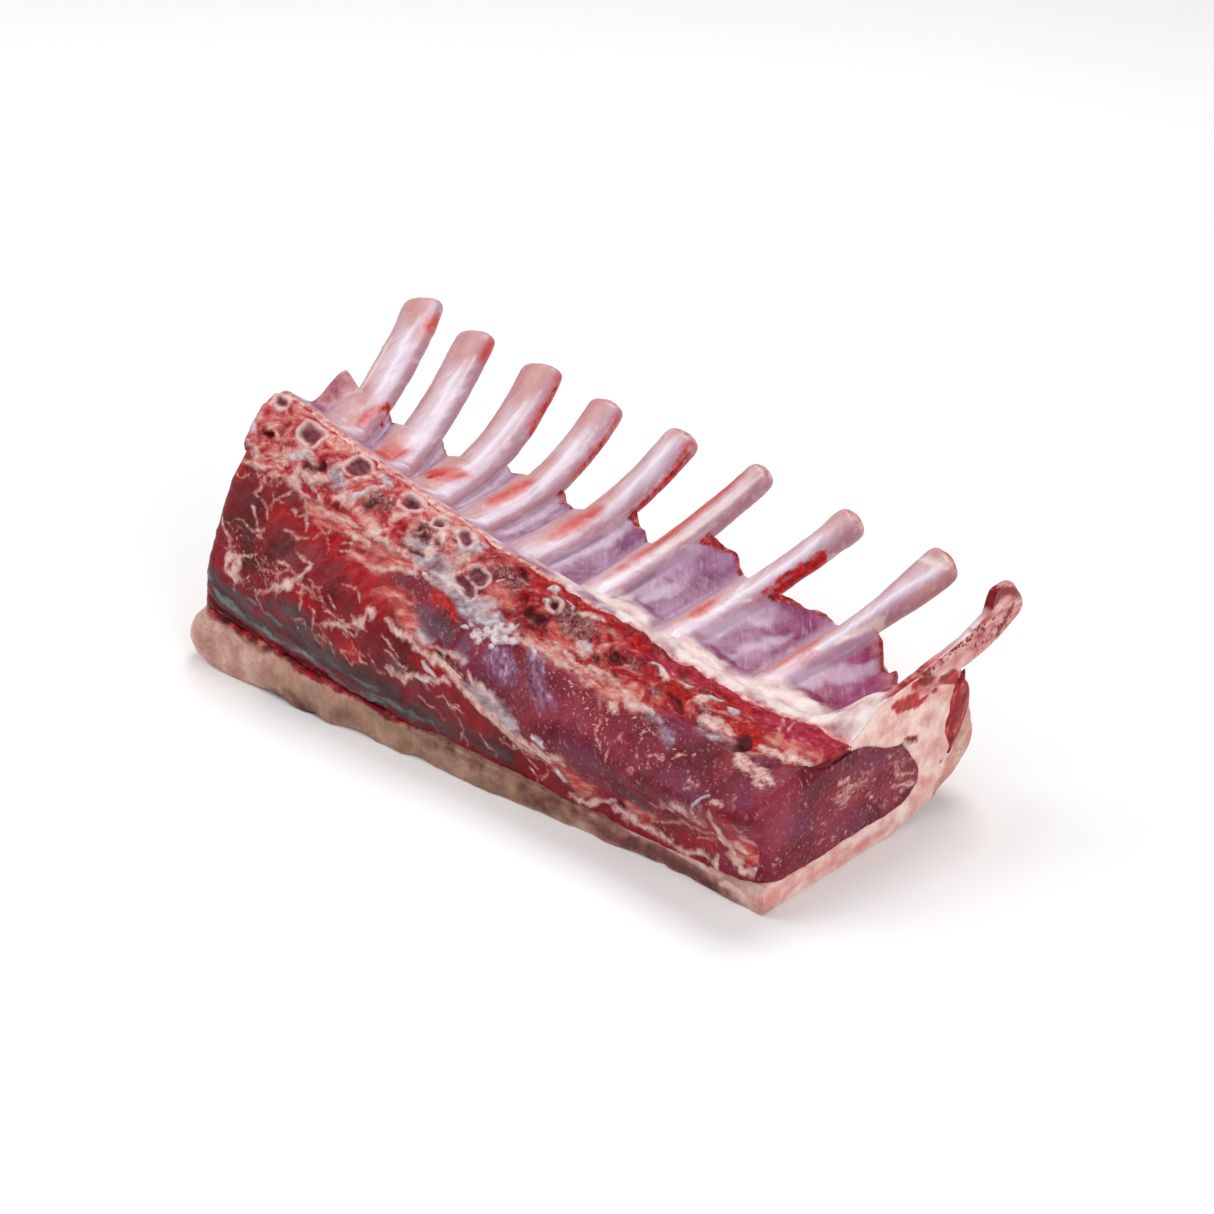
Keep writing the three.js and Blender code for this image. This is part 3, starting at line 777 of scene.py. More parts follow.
def cream_fat(f):
    """Fresh fat where it is cut across, pink to cream."""
    return f.mottle(
        5, (0.3, "#cd918a"), (0.46, "#dfb1a8"), (0.6, "#ecccc2"), (0.74, "#f3ded5"), detail=5,
        roughness=0.6)


# ---- Muscles -----------------------------------------------------------------------------

FLOOR_END = 7.6 / 11      # how far round the fat's top curve the muscles lie on it
SEAM = -0.003             # share of the depth by which the two muscles lap over each other


def muscle_place(x, v, w):
    """A point inside the muscles: v across from the cut face, w up from the fat."""
    s = stations(x)
    part = v * FLOOR_END
    low_y, low_z = fat_top_curve(s, part)
    ahead_y, ahead_z = fat_top_curve(s, part + 1e-3)
    back_y, back_z = fat_top_curve(s, part - 1e-3)
    run = np.hypot(ahead_y - back_y, ahead_z - back_z)
    low_y = low_y - (ahead_z - back_z) / run * 0.1
    low_z = low_z + (ahead_y - back_y) / run * 0.1
    high_y, high_z = roof_curve(s, x, v)
    lean = np.log(0.5) / np.log(along(FACE_BULGE_AT, x))
    bulge = along(FACE_BULGE, x) * np.sin(np.pi * w**lean)
    bulge = bulge + 0.9 * swell(x, w * 40, 9) * np.sin(np.pi * w)
    tip = 1.2 * np.sin(np.pi * w) * v**8
    y = lerp(low_y, high_y, w) - bulge * (1 - v) ** 3 + tip
    return skewed(x, y), y, lerp(low_z, high_z, w)


def seam_share(x):
    """How far up the muscles the eye starts: 0 at the fat, 1 at the backbone."""
    runs_out = smooth(share(x), CAP_TO - 0.75 * CAP_RUNOUT, CAP_TO + 0.25 * CAP_RUNOUT)
    return along(EYE_SEAM, x).clip(0, 1) * (1 - runs_out)


def shoulder_place(u, v, w):
    x = lerp(SHOULDER_END, LOIN_END, u * CAP_TO)
    up = w * np.maximum(seam_share(x), 0.02)
    _, y, z = muscle_place(x, v, up)
    face_y = muscle_place(x, np.zeros_like(v), up)[1]
    from_end, from_face = rounded_corner(x - SHOULDER_END, y - face_y, SHOULDER_CORNER_RADIUS)
    y = face_y + from_face
    return skewed(SHOULDER_END + from_end, y), y, z


def eye_place(u, v, w):
    x = lerp(SHOULDER_END, LOIN_END, lerp(EYE_FROM, 1, u))
    low = np.clip(seam_share(x) + SEAM, 0, 0.985)
    up = lerp(low, 1, w)
    _, y, z = muscle_place(x, v, up)
    face_y = muscle_place(x, np.zeros_like(v), up)[1]
    from_end, from_face = rounded_corner(LOIN_END - x, y - face_y, CORNER_RADIUS)
    y = face_y + from_face
    return skewed(LOIN_END - from_end, y) + 0.35 * (u == 1), y, z


def sprig(draw, a, b, angle, length, half, forks):
    """A wavering streak of fat with smaller ones off it."""
    points = [(a, b)]
    strokes = []
    for _ in range(3):
        angle += draw.normal(0, 16)
        a += length / 3 * math.cos(math.radians(angle))
        b += length / 3 * math.sin(math.radians(angle))
        points.append((a, b))
        if forks and draw.random() < 0.7:
            off = draw.choice((-1, 1)) * draw.uniform(30, 65)
            strokes += sprig(draw, a, b, angle + off, length * 0.5, half * 0.7, forks - 1)
    return [(half, *points)] + strokes


def sprigs(seed, count, box, lengths, angle, half, spread, forks):
    """Sprigs thrown over a box of the face, all leaning much the same way."""
    draw = np.random.default_rng(seed)
    low_a, high_a, low_b, high_b = box
    strokes = []
    for _ in range(count):
        a, b = draw.uniform(low_a, high_a), draw.uniform(low_b, high_b)
        length, lean = draw.uniform(*lengths), angle + draw.normal(0, spread)
        strokes += sprig(draw, a, b, lean, length, half * draw.uniform(0.6, 1.3), forks)
    return strokes


def beads(seed, count, path, reach, sizes):
    """Lumps of fat strung loosely along a path."""
    draw = np.random.default_rng(seed)
    path = np.array(path, dtype=float)
    strokes = []
    for _ in range(count):
        place = draw.uniform(0, len(path) - 1)
        start = int(place)
        middle = lerp(path[start], path[start + 1], place - start) + draw.normal(0, reach, 2)
        length, turn = draw.uniform(0.3, 1.2), draw.uniform(0, np.pi)
        step = length * np.array((math.cos(turn), math.sin(turn)))
        strokes.append((draw.uniform(*sizes), tuple(middle - step), tuple(middle + step)))
    return strokes


# Where sawn bone gives way to muscle down the long cut face, as (x, down).
BONE_EDGE = (
    (-89, -4), (-84, -4.5), (-78, -4), (-72, -3.4), (-66, -3.4), (-60, -2.4), (-52, -1.6),
    (-46, -1), (-40, -2.6), (-32, -2), (-24, -2.4), (-16, -3), (-8, -2), (0, -3), (8, -1),
    (16, -2.6), (26, -3.2), (36, -4.6), (44, -6), (50, -5), (58, -2.6), (64, -1), (76, -0.6),
    (84, -2), (87, 0), (101, 0.2))

# Strokes on the long cut face, as (x, down): down is measured over the surface from the
# lower edge of the backbone, so it is above 0 on the backbone and below 0 on the muscles.
FACE = dict(
    dusk=[
        (3.5, (-84, -13), (-78, -13)), (2.5, (-86, -20), (-76, -21)), (3, (-66, -16), (-52, -14.5)),
        (2.2, (-46, -14), (-43, -14)), (1.6, (-30, -7), (-20, -8)), (2.6, (-34, -20), (-36, -23)),
        (2, (-4, -28), (10, -29)), (3, (12, -18.5), (26, -17.5)), (2.6, (40, -21), (56, -21.5)),
        (1.2, (74, -24), (84, -24)), (2, (86, -12), (92, -12)), (1.4, (-64, -19), (-54, -20))],
    bright=[
        (5, (-60, -9), (-48, -8), (-42, -10)), (5, (-42, -13), (-32, -13), (-24, -16)),
        (2, (-89, -7), (-84, -9)), (2, (-72, -11), (-64, -12)), (2.4, (-10, -22), (0, -22)),
        (2.4, (-36, -31), (-30, -29)), (2.6, (-52, -26), (-46, -27)), (2, (6, -25), (12, -28)),
        (2, (88, -23), (99, -23)), (2.4, (76, -27), (86, -24))],
    flush=[
        (2, (-62, -5.5), (-54, -4), (-42, -3)), (1.6, (-44, -4.5), (-34, -4), (-24, -3.4)),
        (1.2, (-42, -9), (-34, -7.4), (-26, -5)), (1.4, (-30, -13.4), (-24, -11.6), (-18, -9.4)),
        (2.2, (-20, -13), (-14, -15.5), (-8, -17)), (1.4, (-84, 9), (-78, 12), (-76, 14)),
        (1.6, (-64, 11.8), (-62, 11)), (2.4, (18, 3), (24, 1)), (2.6, (32, 9), (36, 6), (33, 11)),
        (1.8, (8, -1.4), (24, -2.6), (44, -3.4)), (1.8, (47.6, 1), (48.2, -1.6)),
        (1.2, (-31, 9), (-33, 4)), (1.6, (-4, 5.6), (2, 3.6), (6, 3)), (1.8, (86, 6.4), (101, 5)),
        (2.4, (92, -23), (97, -25)), (1.4, (-52, 8), (-51, 7.6)), (2, (58, -26), (66, -25.4)),
        (2.2, (38, -26), (48, -27.4)), (1.6, (34, -26), (37.6, -27.4)),
        (1.2, (-88, 11), (-84, 11.6)), (1.2, (53, 3), (56, 1)), (1.6, (0, 14.6), (6, 14.8))],
    sponge=[
        (3, (-46, 5), (-43.4, 8)), (3, (-29, 5), (-25, 8)), (1.4, (-40, 9), (-40, 6)),
        (1, (-22, 8), (-20, 6)), (3.4, (20, 9), (28, 8)), (2.2, (19, 6), (30, 6.4)),
        (1.6, (43, 8), (44.6, 5)), (2.2, (0, 9), (6, 8)), (2, (-5, 10), (4, 10.6)),
        (1.6, (51, 4), (54, 3)), (1, (66, 4.6), (70, 4))],
    blood=[
        (1.4, (-79, 11), (-79, 6.6)), (0.7, (-61.6, 10.4), (-61, 6.6)),
        (1.2, (-66, -0.4), (-60, -1.4)), (3, (8, 7), (12, 4)), (2, (16, 3), (18, 1)),
        (2.2, (36, 5.4), (41, 5)), (1.2, (30, 6), (33, 7)), (1.6, (46, 7.6), (49, 7)),
        (1.4, (-2, 13.4), (4, 13)), (1.4, (-84, -2.4), (-88, -2)), (1, (-26, 12), (-25, 12)),
        (1.6, (-62, 1.6), (-57, 2)), (1.4, (-56, -1), (-51, 0.4)), (1.2, (60, 11), (68, 9.6)),
        (1, (-77, 4), (-74, 6)), (1.2, (-4, 6.6), (-1, 8.4))],
    gore=[
        (2.6, (7, 13.4), (11, 11)), (1.2, (14, 14.2), (28, 13.4), (36, 13)),
        (2, (37, 12.6), (43, 12.6)), (3, (55, 6), (59, 5), (61, 2)), (1.6, (63, 12), (78, 12)),
        (1.4, (79.4, 6.4), (79.6, 3)), (1.8, (84, 1), (85.4, 4.6)), (1.2, (81, 6), (84, 5.6)),
        (0.6, (37.6, -2), (41.6, -3)), (1.2, (6, 8), (9, 6.6)), (1, (-85, 6), (-81, 3.6)),
        (1.4, (0, 15), (10, 15)), (0.8, (52, 6), (54, 4.6)), (1.4, (33, 9), (35, 8)),
        (0.8, (-33.6, 5), (-31.6, 3.4)), (0.8, (-64, 7), (-61.6, 5.2))],
    flesh=[
        (1.4, (44, 12), (54, 11)), (2.6, (56, 14), (66, 13.6), (78, 14)),
        (3.6, (78, 11), (88, 11), (100, 9)), (2.4, (76, 14.4), (90, 14.6)),
        (1.8, (94, 12), (100, 12)), (1.2, (-66, 0), (-61, -1.6)), (1.2, (48, 14), (56, 13.4))],
    scarlet=[
        (1.2, (-49, -0.2), (-45.4, -0.8)), (1.9, (-15, -5.2), (-10, -5.6), (-5, -6.8)),
        (0.9, (13.6, 4.4), (15.6, 3)), (1, (46.6, 7.4), (48.6, 6.6)), (1.3, (55, 7), (60, 6.2)),
        (1.2, (63, -27), (65, -26.4)), (0.8, (95.6, -28.2), (98, -28)), (0.8, (79, 5), (79.4, 1)),
        (0.9, (84.4, 3.6), (85, 0.4)), (0.8, (52, -27.6), (54, -27))],
    veil=[
        (1.6, (-24, 1.6), (-16, 0.6), (-8, -1.4), (2, -3)), (1, (-12, -2.4), (-4, -4), (2, -5)),
        (2, (-25, 0.4), (-21, 0)), (2.6, (-18, -0.4), (-12, -0.6)),
        (2.2, (-5, -2), (1, -2.6), (7, -2.6)), (1.6, (-4, 0), (3, 1)),
        (1.4, (-30, 3.4), (-24, 3.4)), (1.6, (-20, 4), (-14, 3)), (2, (-59, 6.6), (-57, 5.4)),
        (2.2, (8, -20), (16, -21.6), (26, -22.6)), (1.4, (-12, -16), (-8, -15.6)),
        (1.2, (1, -15.6), (4, -16)), (0.9, (70, 0), (79, -0.4)), (1, (62, -5), (66, -7.4)),
        (2.4, (-16, 8), (-12, 13)), (1.2, (-49, 14), (-46, 12.6)), (0.9, (56, -3), (60, -3.6)),
        (1.2, (-89, 6), (-88, 3))],
    mist=[
        (2.2, (-16, -10), (-8, -12), (-2, -13)), (1.2, (-14, -12.6), (-8, -14.4)),
        (1.4, (0, -12), (4, -13))],
    # Plum-purple painted sheen, standing in for light glancing off the wet eye muscle.
    plum=[
        (3, (2, -13), (10, -14), (20, -15)), (3, (72, -15), (84, -18)), (2.6, (92, -11), (96, -17)),
        (2.4, (60, -2), (74, -3)), (2, (88, -1.6), (93, -2.6)), (3, (40, -20), (52, -21))],
    silver=[
        (2.4, (9, -9), (14, -11), (19, -13.4)), (2, (19, -5), (23, -8), (27, -12), (30, -15)),
        (1.4, (21, -5), (26, -8)), (1.2, (28, -13), (33, -14)), (1, (63, -5), (67, -8))],
    slate=[
        (3, (-94, -34), (-87, -37), (-80, -40), (-68, -41), (-56, -40)),
        (2.6, (-62, -33), (-52, -31), (-42, -33)),
        (3.4, (-62, -38), (-46, -36.5), (-30, -36), (-14, -34)),
        (2.2, (-22, -38), (-8, -35), (6, -33), (20, -32)), (1.4, (-17, -26), (-9, -27)),
        (0.8, (-9, -10.8), (-2, -9.4)), (1.6, (56, -22.6), (64, -23.6))],
    # The grey-blue fascia line: partly its own colour, partly painted highlight.
    sheath=[
        (0.9, (-90, -36), (-86, -39), (-80, -42), (-68, -42), (-58, -41.6)),
        (0.5, (-66, -34), (-62, -36), (-57, -37.5)),
        (0.8, (-60, -41.6), (-46, -40), (-30, -40.6), (-20, -39)),
        (0.6, (-28, -39), (-12, -36.5), (2, -35.5)), (0.4, (-76, -38), (-70, -36.5), (-66, -36)),
        (0.4, (-44, -38), (-34, -37), (-22, -36.5))],
    # Painted shade in creases and seams, such as the crevice just above the fat.
    dark=[
        (0.6, (-90, -43), (-78, -45.5), (-64, -45)), (0.6, (-62, -44), (-40, -42.5), (-20, -40)),
        (0.5, (-5, -17.4), (2, -17.2)), (0.6, (-31.6, 1), (-27, 1.2), (-23, 2.2)),
        (0.4, (9, -0.6), (14, -1.6), (17, -3.4)), (0.4, (26, -3.4), (36, -4.4)),
        (0.6, (62, 9), (65, 9.6), (68, 9.4)), (0.5, (-82, 6.4), (-84.6, 4.4)),
        (0.3, (18, -6), (23, -11), (28, -14.4)), (0.4, (-6, -18.6), (4, -19)),
        (0.4, (90, -1), (94, -3.6)), (0.3, (86, -27), (88, -31)),
        (0.5, (-14.4, 10.6), (-13.4, 9.6)), (0.4, (54, -27), (58, -27.6))],
    wisp=[
        (0.4, (-79.6, -5.4), (-77.6, -8), (-78.6, -10.6)), (0.3, (-79, -7), (-76, -5.6)),
        (0.4, (-78.6, -10.6), (-72, -11.4), (-70.6, -14)),
        (0.5, (-63.6, -4), (-61, -6.6), (-58, -10)),
        (0.4, (-65.2, -9), (-64.4, -8.2), (-63.6, -9.2)),
        (0.35, (-64, -14.4), (-60, -13.2), (-56, -11.4)),
        (0.45, (-78, -14.4), (-75.6, -16.4), (-73.6, -18.4), (-70.6, -16.8)),
        (0.5, (-71.6, -18.6), (-71.4, -19.4)), (0.2, (-84, -21.6), (-78, -19.6), (-70, -19)),
        (0.5, (-87, -20), (-84, -24), (-81, -27), (-79, -31)),
        (0.4, (-70, -24), (-74, -26.6), (-77, -28)), (0.45, (-58, -16), (-55, -17), (-50.6, -16.8)),
        (0.4, (-63.4, -22.4), (-58, -21.4), (-53.4, -22)),
        (0.4, (-54, -23.4), (-49, -23.4), (-44, -22.4)), (0.4, (-50.4, -23.6), (-49.6, -29.4)),
        (0.4, (-62, -29.4), (-67, -33)), (0.35, (-33, -24), (-38, -24.6), (-42, -25.4)),
        (0.3, (-42, -20.6), (-38, -22.6)), (0.3, (-22, -21), (-15, -23)),
        (0.3, (-20, -24), (-12, -25.2)), (0.3, (-40, -16.4), (-36, -15.4), (-33, -17)),
        (0.4, (67, -10.6), (68.4, -13.4)), (0.4, (61, -13.6), (62.6, -14.6)),
        (0.4, (62, -18), (63.4, -17)), (0.4, (78, -17), (79.4, -17)),
        (0.5, (87.4, -18), (89.6, -17)), (0.3, (46, -10), (48, -14), (51, -16.4)),
        (0.3, (42, -6), (45, -9)), (0.35, (66, -27), (75, -23.4), (86, -21.4)),
        (0.3, (80, -25.6), (86, -22.6)), (0.35, (66, -22), (75, -21), (85, -20.2)),
        (0.4, (94, -20.8), (98, -20), (101, -18)), (0.3, (83, 14), (86, 9.4), (89, 6)),
        (0.3, (86, 14), (89, 9.4)), (0.3, (13, -2.2), (24, -2), (36, -3.4)),
        (0.25, (24, -0.6), (34, -1.6), (44, -2.6))],
    cream=[
        (1.2, (-79.6, -33), (-80, -30), (-77, -28.2)),
        (1.4, (-76, -27.6), (-75.6, -31), (-75, -35)), (1, (-80, -33.4), (-75, -33.6)),
        (0.7, (-51.4, -17.4), (-52.2, -21), (-54, -23.4)), (1.2, (-54, -23.6), (-57, -26.6)),
        (0.7, (-57, -26.6), (-62, -29.4)), (1, (-29.6, -17.8), (-26, -18.2)),
        (0.7, (-29, -18.6), (-30, -22), (-33, -24)), (0.5, (-33, -24), (-38, -27), (-41, -29.4)),
        (0.7, (-20, -28.4), (-13, -28.2), (-9, -25.4)), (0.6, (-9, -25.4), (-5, -24), (1, -22)),
        (0.8, (-22, -17.4), (-14, -18.2), (-8, -19)), (1.1, (-9, -19), (0, -19.6), (7, -21)),
        (1.2, (6, -21), (14, -23.4), (23, -25)), (0.9, (12, -23.6), (22, -26.2), (33, -26)),
        (1, (22, -25), (33, -25.2), (39, -24.4)), (0.5, (-7, -17), (-1, -16.4), (3, -16.8)),
        (0.5, (6, -17.4), (12, -19), (19, -21.2)), (0.7, (40, -31.2), (46, -31), (50, -29)),
        (0.6, (49, -29.2), (54, -27.6)), (0.9, (54, -29), (62, -29), (70, -29.4)),
        (0.6, (68, -29.6), (84, -29.6)), (1, (81, -2.2), (86, -3.2), (90, -4.8)),
        (0.9, (88, -3.2), (92, -6), (96, -9.4)), (0.6, (84, -4.2), (89, -6.6), (92, -7.6)),
        (0.7, (91, -4), (95, -6.4), (99, -7.6)), (0.7, (86, -27), (88, -31), (90, -34)),
        (1, (92, -22.6), (95, -23.6)), (1.1, (74, 3), (79, 2)), (1.4, (63, 7), (66, 6.4)),
        (1.6, (68, 2.4), (76, 2.2)), (1.2, (86, 2), (94, 2), (101, 2)), (1.9, (27, 3.6), (32.6, 3)),
        (1, (22, 11.6), (28, 12.4)), (1.8, (46, -6), (49, -6.6)), (1.2, (50, -3.6), (56, -2.6)),
        (1.3, (-53.6, 3.4), (-50, 3.4)), (0.9, (-50, 4.6), (-47.4, 8.6), (-44, 11.4)),
        (1, (-69.4, 0.2), (-65, 2), (-61, 3)), (0.5, (-88, -0.6), (-82, -1.6), (-79, 0.6)),
        (0.5, (-80, 0), (-77, 1.2), (-73, 3.4)), (0.5, (-76, -3.6), (-70, -1.6), (-67, -0.6)),
        (0.6, (-36, -9), (-30, -6.4), (-21, -3)), (0.8, (-42, -1.6), (-36, -0.8), (-30, -1)),
        (0.6, (-58, -3.4), (-50, -1.6), (-43, -1)), (1.6, (-22, 13), (-20, 11.4)),
        (1.6, (-14, 5), (-13, 9)), (1, (-24, 14), (-28, 14)),
        (0.6, (20, -0.2), (30, -1), (40, -1.2)), (0.5, (14, -2.8), (26, -3), (38, -4.2)),
        (0.5, (36, 0.6), (44, -1), (50, -2.6)), (1.2, (50, 9), (53, 8)), (0.7, (56, 9.4), (60, 9)),
        (0.5, (-47, -4.6), (-38, -3.2)), (0.9, (34, 0.4), (44, 0)), (0.6, (-86, -4.2), (-78, -3.6)),
        (1.2, (99, -9.6), (101, -10))],
    white=[
        (1.3, (-73, 2.2), (-70, 4.6), (-66.8, 7.4)), (0.8, (-52.4, 3.6), (-50, 5.6), (-48, 8.4)),
        (0.8, (-20, -1.6), (-18, -2.6)), (1.2, (12.4, 12.8), (13.6, 11)),
        (0.7, (46.6, 9.4), (49, 9.6), (51, 8.6)), (1.3, (72.6, 8), (75.6, 7)),
        (0.9, (65, 8.4), (69, 8.6)), (0.7, (31.6, -22.6), (34.4, -21.6)),
        (0.5, (33, -23), (35, -22.4)), (0.6, (36.6, -28.2), (38.6, -28)),
        (0.7, (31, -26.6), (36, -26.4)), (0.45, (82, -20), (84, -18), (86, -16.6)),
        (0.35, (90, -6), (92, -8.6)), (0.3, (93, -5), (96, -8)), (0.35, (86, -4), (88, -6.4)),
        (0.5, (17, -3), (20, -4.6), (22, -7)), (0.6, (96.4, -26.6), (98.4, -26.8)),
        (0.8, (29, 4.4), (33, 3.6)), (0.6, (-13.4, 14), (-12, 11)), (0.6, (-8, -21.4), (-3, -22)),
        (0.5, (-5, -24.4), (-9, -25.8)), (0.6, (52, -28), (54, -27.6)), (0.6, (55, -2.4), (58, -3)),
        (0.8, (-46, 12), (-43.6, 13))],
    hole=[
        (1.3, (-86.4, 14.2), (-85, 14.1)), (2.1, (-72, 11.8), (-70.4, 11.4)),
        (2.2, (-55.6, 11.6), (-54, 11.4)), (1.8, (-36.6, 12.2), (-35, 12)),
        (1.7, (-17.4, 12.4), (-15.8, 12)), (1.7, (-7.6, 5.6), (-6.4, 5.2)),
        (1.3, (-11, 2.4), (-8, 1), (-6, -0.4)), (0.9, (-26, 12), (-25.4, 11.8)),
        (0.9, (16, 8.6), (17, 8.4))],
    # Small holes painted dark: partly blood, partly painted shade in their depths.
    pit=[
        (0.8, (-68, 2.8), (-65, 4.4), (-62.6, 6)), (0.7, (-84, 5), (-81.4, 5.8)),
        (1.4, (11, 3.8), (14, 3), (17, 4.4)), (1, (14.6, 9), (17, 8.2)),
        (0.8, (34.6, 3.6), (36, 1.6)), (1.2, (37, 5.6), (41, 4.6)), (0.5, (41.6, 1.6), (42.2, 0.8)),
        (0.7, (56, 4), (60, 3), (62, 1)), (2.1, (81.4, 2), (82.4, -0.4)),
        (0.9, (81, -1.8), (82, -2.4)), (0.6, (-46.6, 4), (-44, 6)), (0.5, (-28, 6), (-26, 7)),
        (0.5, (-30, 8), (-29, 7)), (0.5, (-8, 7.6), (-5, 7)), (0.5, (54.6, 11), (59, 10.4)),
        (0.5, (0.4, 12.8), (3, 12.2)), (0.4, (-19.6, 9.4), (-18.8, 9.2)),
        (0.4, (40, 6.8), (42, 6.2)), (0.4, (-35.8, 12.4)), (0.5, (7, 7), (8.6, 6.4))],
    speck=[
        (3.6, (28, -7), (40, -9), (50, -11)), (2.4, (44, -12), (52, -16)),
        (2.5, (56, -8), (70, -8)), (1.6, (60, -14), (66, -17)), (1.5, (-84, -24), (-60, -26))],
)

# Strokes on the loin end and on the shoulder end, as (y, z).
LOIN_FACE = dict(
    wisp=[],
    cream=[
        (0.6, (24.4, 27.8), (26.4, 26.8)), (0.5, (44, 22), (46.6, 18.6)),
        (0.5, (48, 14.6), (52, 12.6))],
    speck=[(4, (22, 21), (34, 23)), (3, (42, 17), (50, 18)), (2, (2, 14), (14, 15))],
    # Plum-purple painted sheen on the loin end.
    plum=[(3, (30, 28), (44, 25)), (3, (6, 24), (14, 18)), (3, (24, 14), (34, 12))],
)
SHOULDER_FACE = dict(
    wisp=[],
    cream=[
        (0.8, (-16, 40), (0, 34), (18, 36), (34, 30)), (0.7, (8, 56), (6, 44), (12, 30), (8, 16))],
    bright=[(8, (0, 30), (20, 40))],
    slate=[(1.4, (-16, 19), (4, 14), (24, 13), (40, 18))],
)

# Sprigs: the face they lie on, a seed, how many, the box they are thrown over, their shortest
# and longest length, lean, half width, spread of the lean, and how often they fork.
for face, *settings in (
    (FACE, 3, 26, (-84, -20, -33, -20), (3, 7), -16, 0.17, 12, 1),
    (FACE, 4, 16, (-20, 30, -32, -24), (3, 7), -10, 0.18, 10, 1),
    (FACE, 5, 26, (54, 98, -19, -5), (0.8, 2.4), -50, 0.25, 40, 0),
    (FACE, 9, 14, (-88, -40, -12, -3), (3, 6), 18, 0.2, 20, 1),
    (FACE, 10, 16, (10, 46, -4.4, 0), (6, 10), -5, 0.2, 5, 0),
    (LOIN_FACE, 7, 40, (10, 52, 11, 28), (0.8, 2.2), -25, 0.2, 40, 1),
    (LOIN_FACE, 8, 26, (22, 34, 19, 25), (1.0, 2.6), 20, 0.28, 25, 1),
    (LOIN_FACE, 17, 14, (44, 52, 13, 23), (1, 2.4), -35, 0.3, 25, 1),
    (SHOULDER_FACE, 15, 30, (-12, 40, 16, 50), (4, 10), 30, 0.3, 60, 2),
):
    face["wisp"] += sprigs(*settings)

# Beads: their coat, a seed, how many, the path they are strung along, how far they stray from
# it, and their smallest and largest half width.
for coat, *settings in (
    ("white", 6, 24, ((0, -7.6), (5, -7), (8, -5.6), (13, -4.6)), 1.0, (0.5, 1.05)),
    ("white", 7, 15, ((5, -2.6), (9, -2.6), (11, -3.2)), 1.1, (0.4, 0.9)),
    ("white", 13, 12, ((-60, 7), (-40, 7), (-20, 9), (20, 9), (30, 7)), 2.4, (0.3, 0.5)),
    ("cream", 12, 12, ((88, -21), (91, -26), (97, -29)), 0.8, (0.5, 1.0)),
    ("cream", 14, 10, ((84, -29.5), (101, -27)), 0.5, (0.4, 0.8)),
):
    FACE[coat] += beads(*settings)

# How far each coat stands proud of the face, in millimetres, in the order they are laid.
LIFT = dict(
    dusk=0, bright=0, flush=0.1, sponge=-0.3, blood=-0.3, gore=-0.4, flesh=-0.2, scarlet=0.2,
    veil=0.1, mist=0, plum=0, silver=0.1, slate=-0.1, sheath=0.1, dark=-0.6, wisp=0.05, cream=0.25,
    white=0.5, hole=-0.5, pit=-0.9, speck=0)


def down_face(x, y, z):
    """How far a place on the long cut face lies above the backbone's lower edge."""
    edge_y, edge_z = along(CHINE_FRONT_Y, x), along(CHINE_FRONT_Z, x)
    away = np.hypot(y - edge_y, z - edge_z)
    return np.where(y - edge_y + 1.5 * (z - edge_z) > 0, away, -away)


def paint_face(piece, on_face, on_loin=None, on_shoulder=None):
    """Paints a piece of the cut face, and gives the height of what stands proud on it."""
    x, y, z = piece.points.T
    a, b = wandered(x, down_face(x, y, z), seed=301)
    end_a, end_b = wandered(y, z, seed=311)
    height = np.zeros(len(x))
    for name, lift in LIFT.items():
        gap = np.where(on_face, stroke_gap(a, b, FACE[name]), FAR)
        for on_end, strokes in ((on_loin, LOIN_FACE), (on_shoulder, SHOULDER_FACE)):
            if on_end is not None:
                gap = np.where(on_end, stroke_gap(end_a, end_b, strokes.get(name, [])), gap)
        piece.paint(name, gap)
        height += lift * cover_of(gap, 0.9)
        if name == "hole":
            height += 0.4 * hump(gap, 1.0, 1.4)
    edge_x, edge_down = zip(*BONE_EDGE)
    bone_gap = np.interp(a, edge_x, edge_down) - b
    piece.paint("bone", np.where(on_face, np.clip(bone_gap, -FAR, FAR), FAR))
    piece.paint("loinward", smooth(x, -25, 15))
    bony = np.where(on_face, cover_of(bone_gap, 2.5), 0)
    coarse = 0.55 * rough(piece.points, 6, seed=61)
    height += bony * (coarse + 0.14 * rough(piece.points, 1.8, seed=71, octaves=2))
    height += (1 - bony) * 0.3 * rough(piece.points, 9, seed=21)
    return height + 0.12 * rough(piece.points, 2.2, seed=31)


RED_MEAT = ("#561419", "#7a121e", "#921a28", (0, 18, 0))
DARK_MEAT = ("#5e1221", "#7b1d2d", "#8d3042", (0, 27, -31))

shoulder = Piece("shoulder_meat", (420, 12, 100), shoulder_place, soften=0)
on_face = (shoulder.v < 0.12) & (shoulder.u > 0.004)
shoulder.raise_by(paint_face(shoulder, on_face, on_shoulder=shoulder.u < 0.004))
shoulder_finish = cut_face_finish("shoulder_muscle_cut", *RED_MEAT)
shoulder.finish(shoulder_finish, "red_meat", "shoulder_muscle")

eye = Piece("eye_of_loin", (260, 60, 90), eye_place, soften=0)
on_loin = eye.u > 0.985
eye.raise_by(paint_face(eye, (eye.v < 0.15) & ~on_loin, on_loin=on_loin))
eye_finish = cut_face_finish("eye_muscle_cut", *DARK_MEAT, specks_all_over=0.3)
eye.finish(eye_finish, "dark_meat", "loin_eye")

# ---- Fat cap and flank -------------------------------------------------------------------


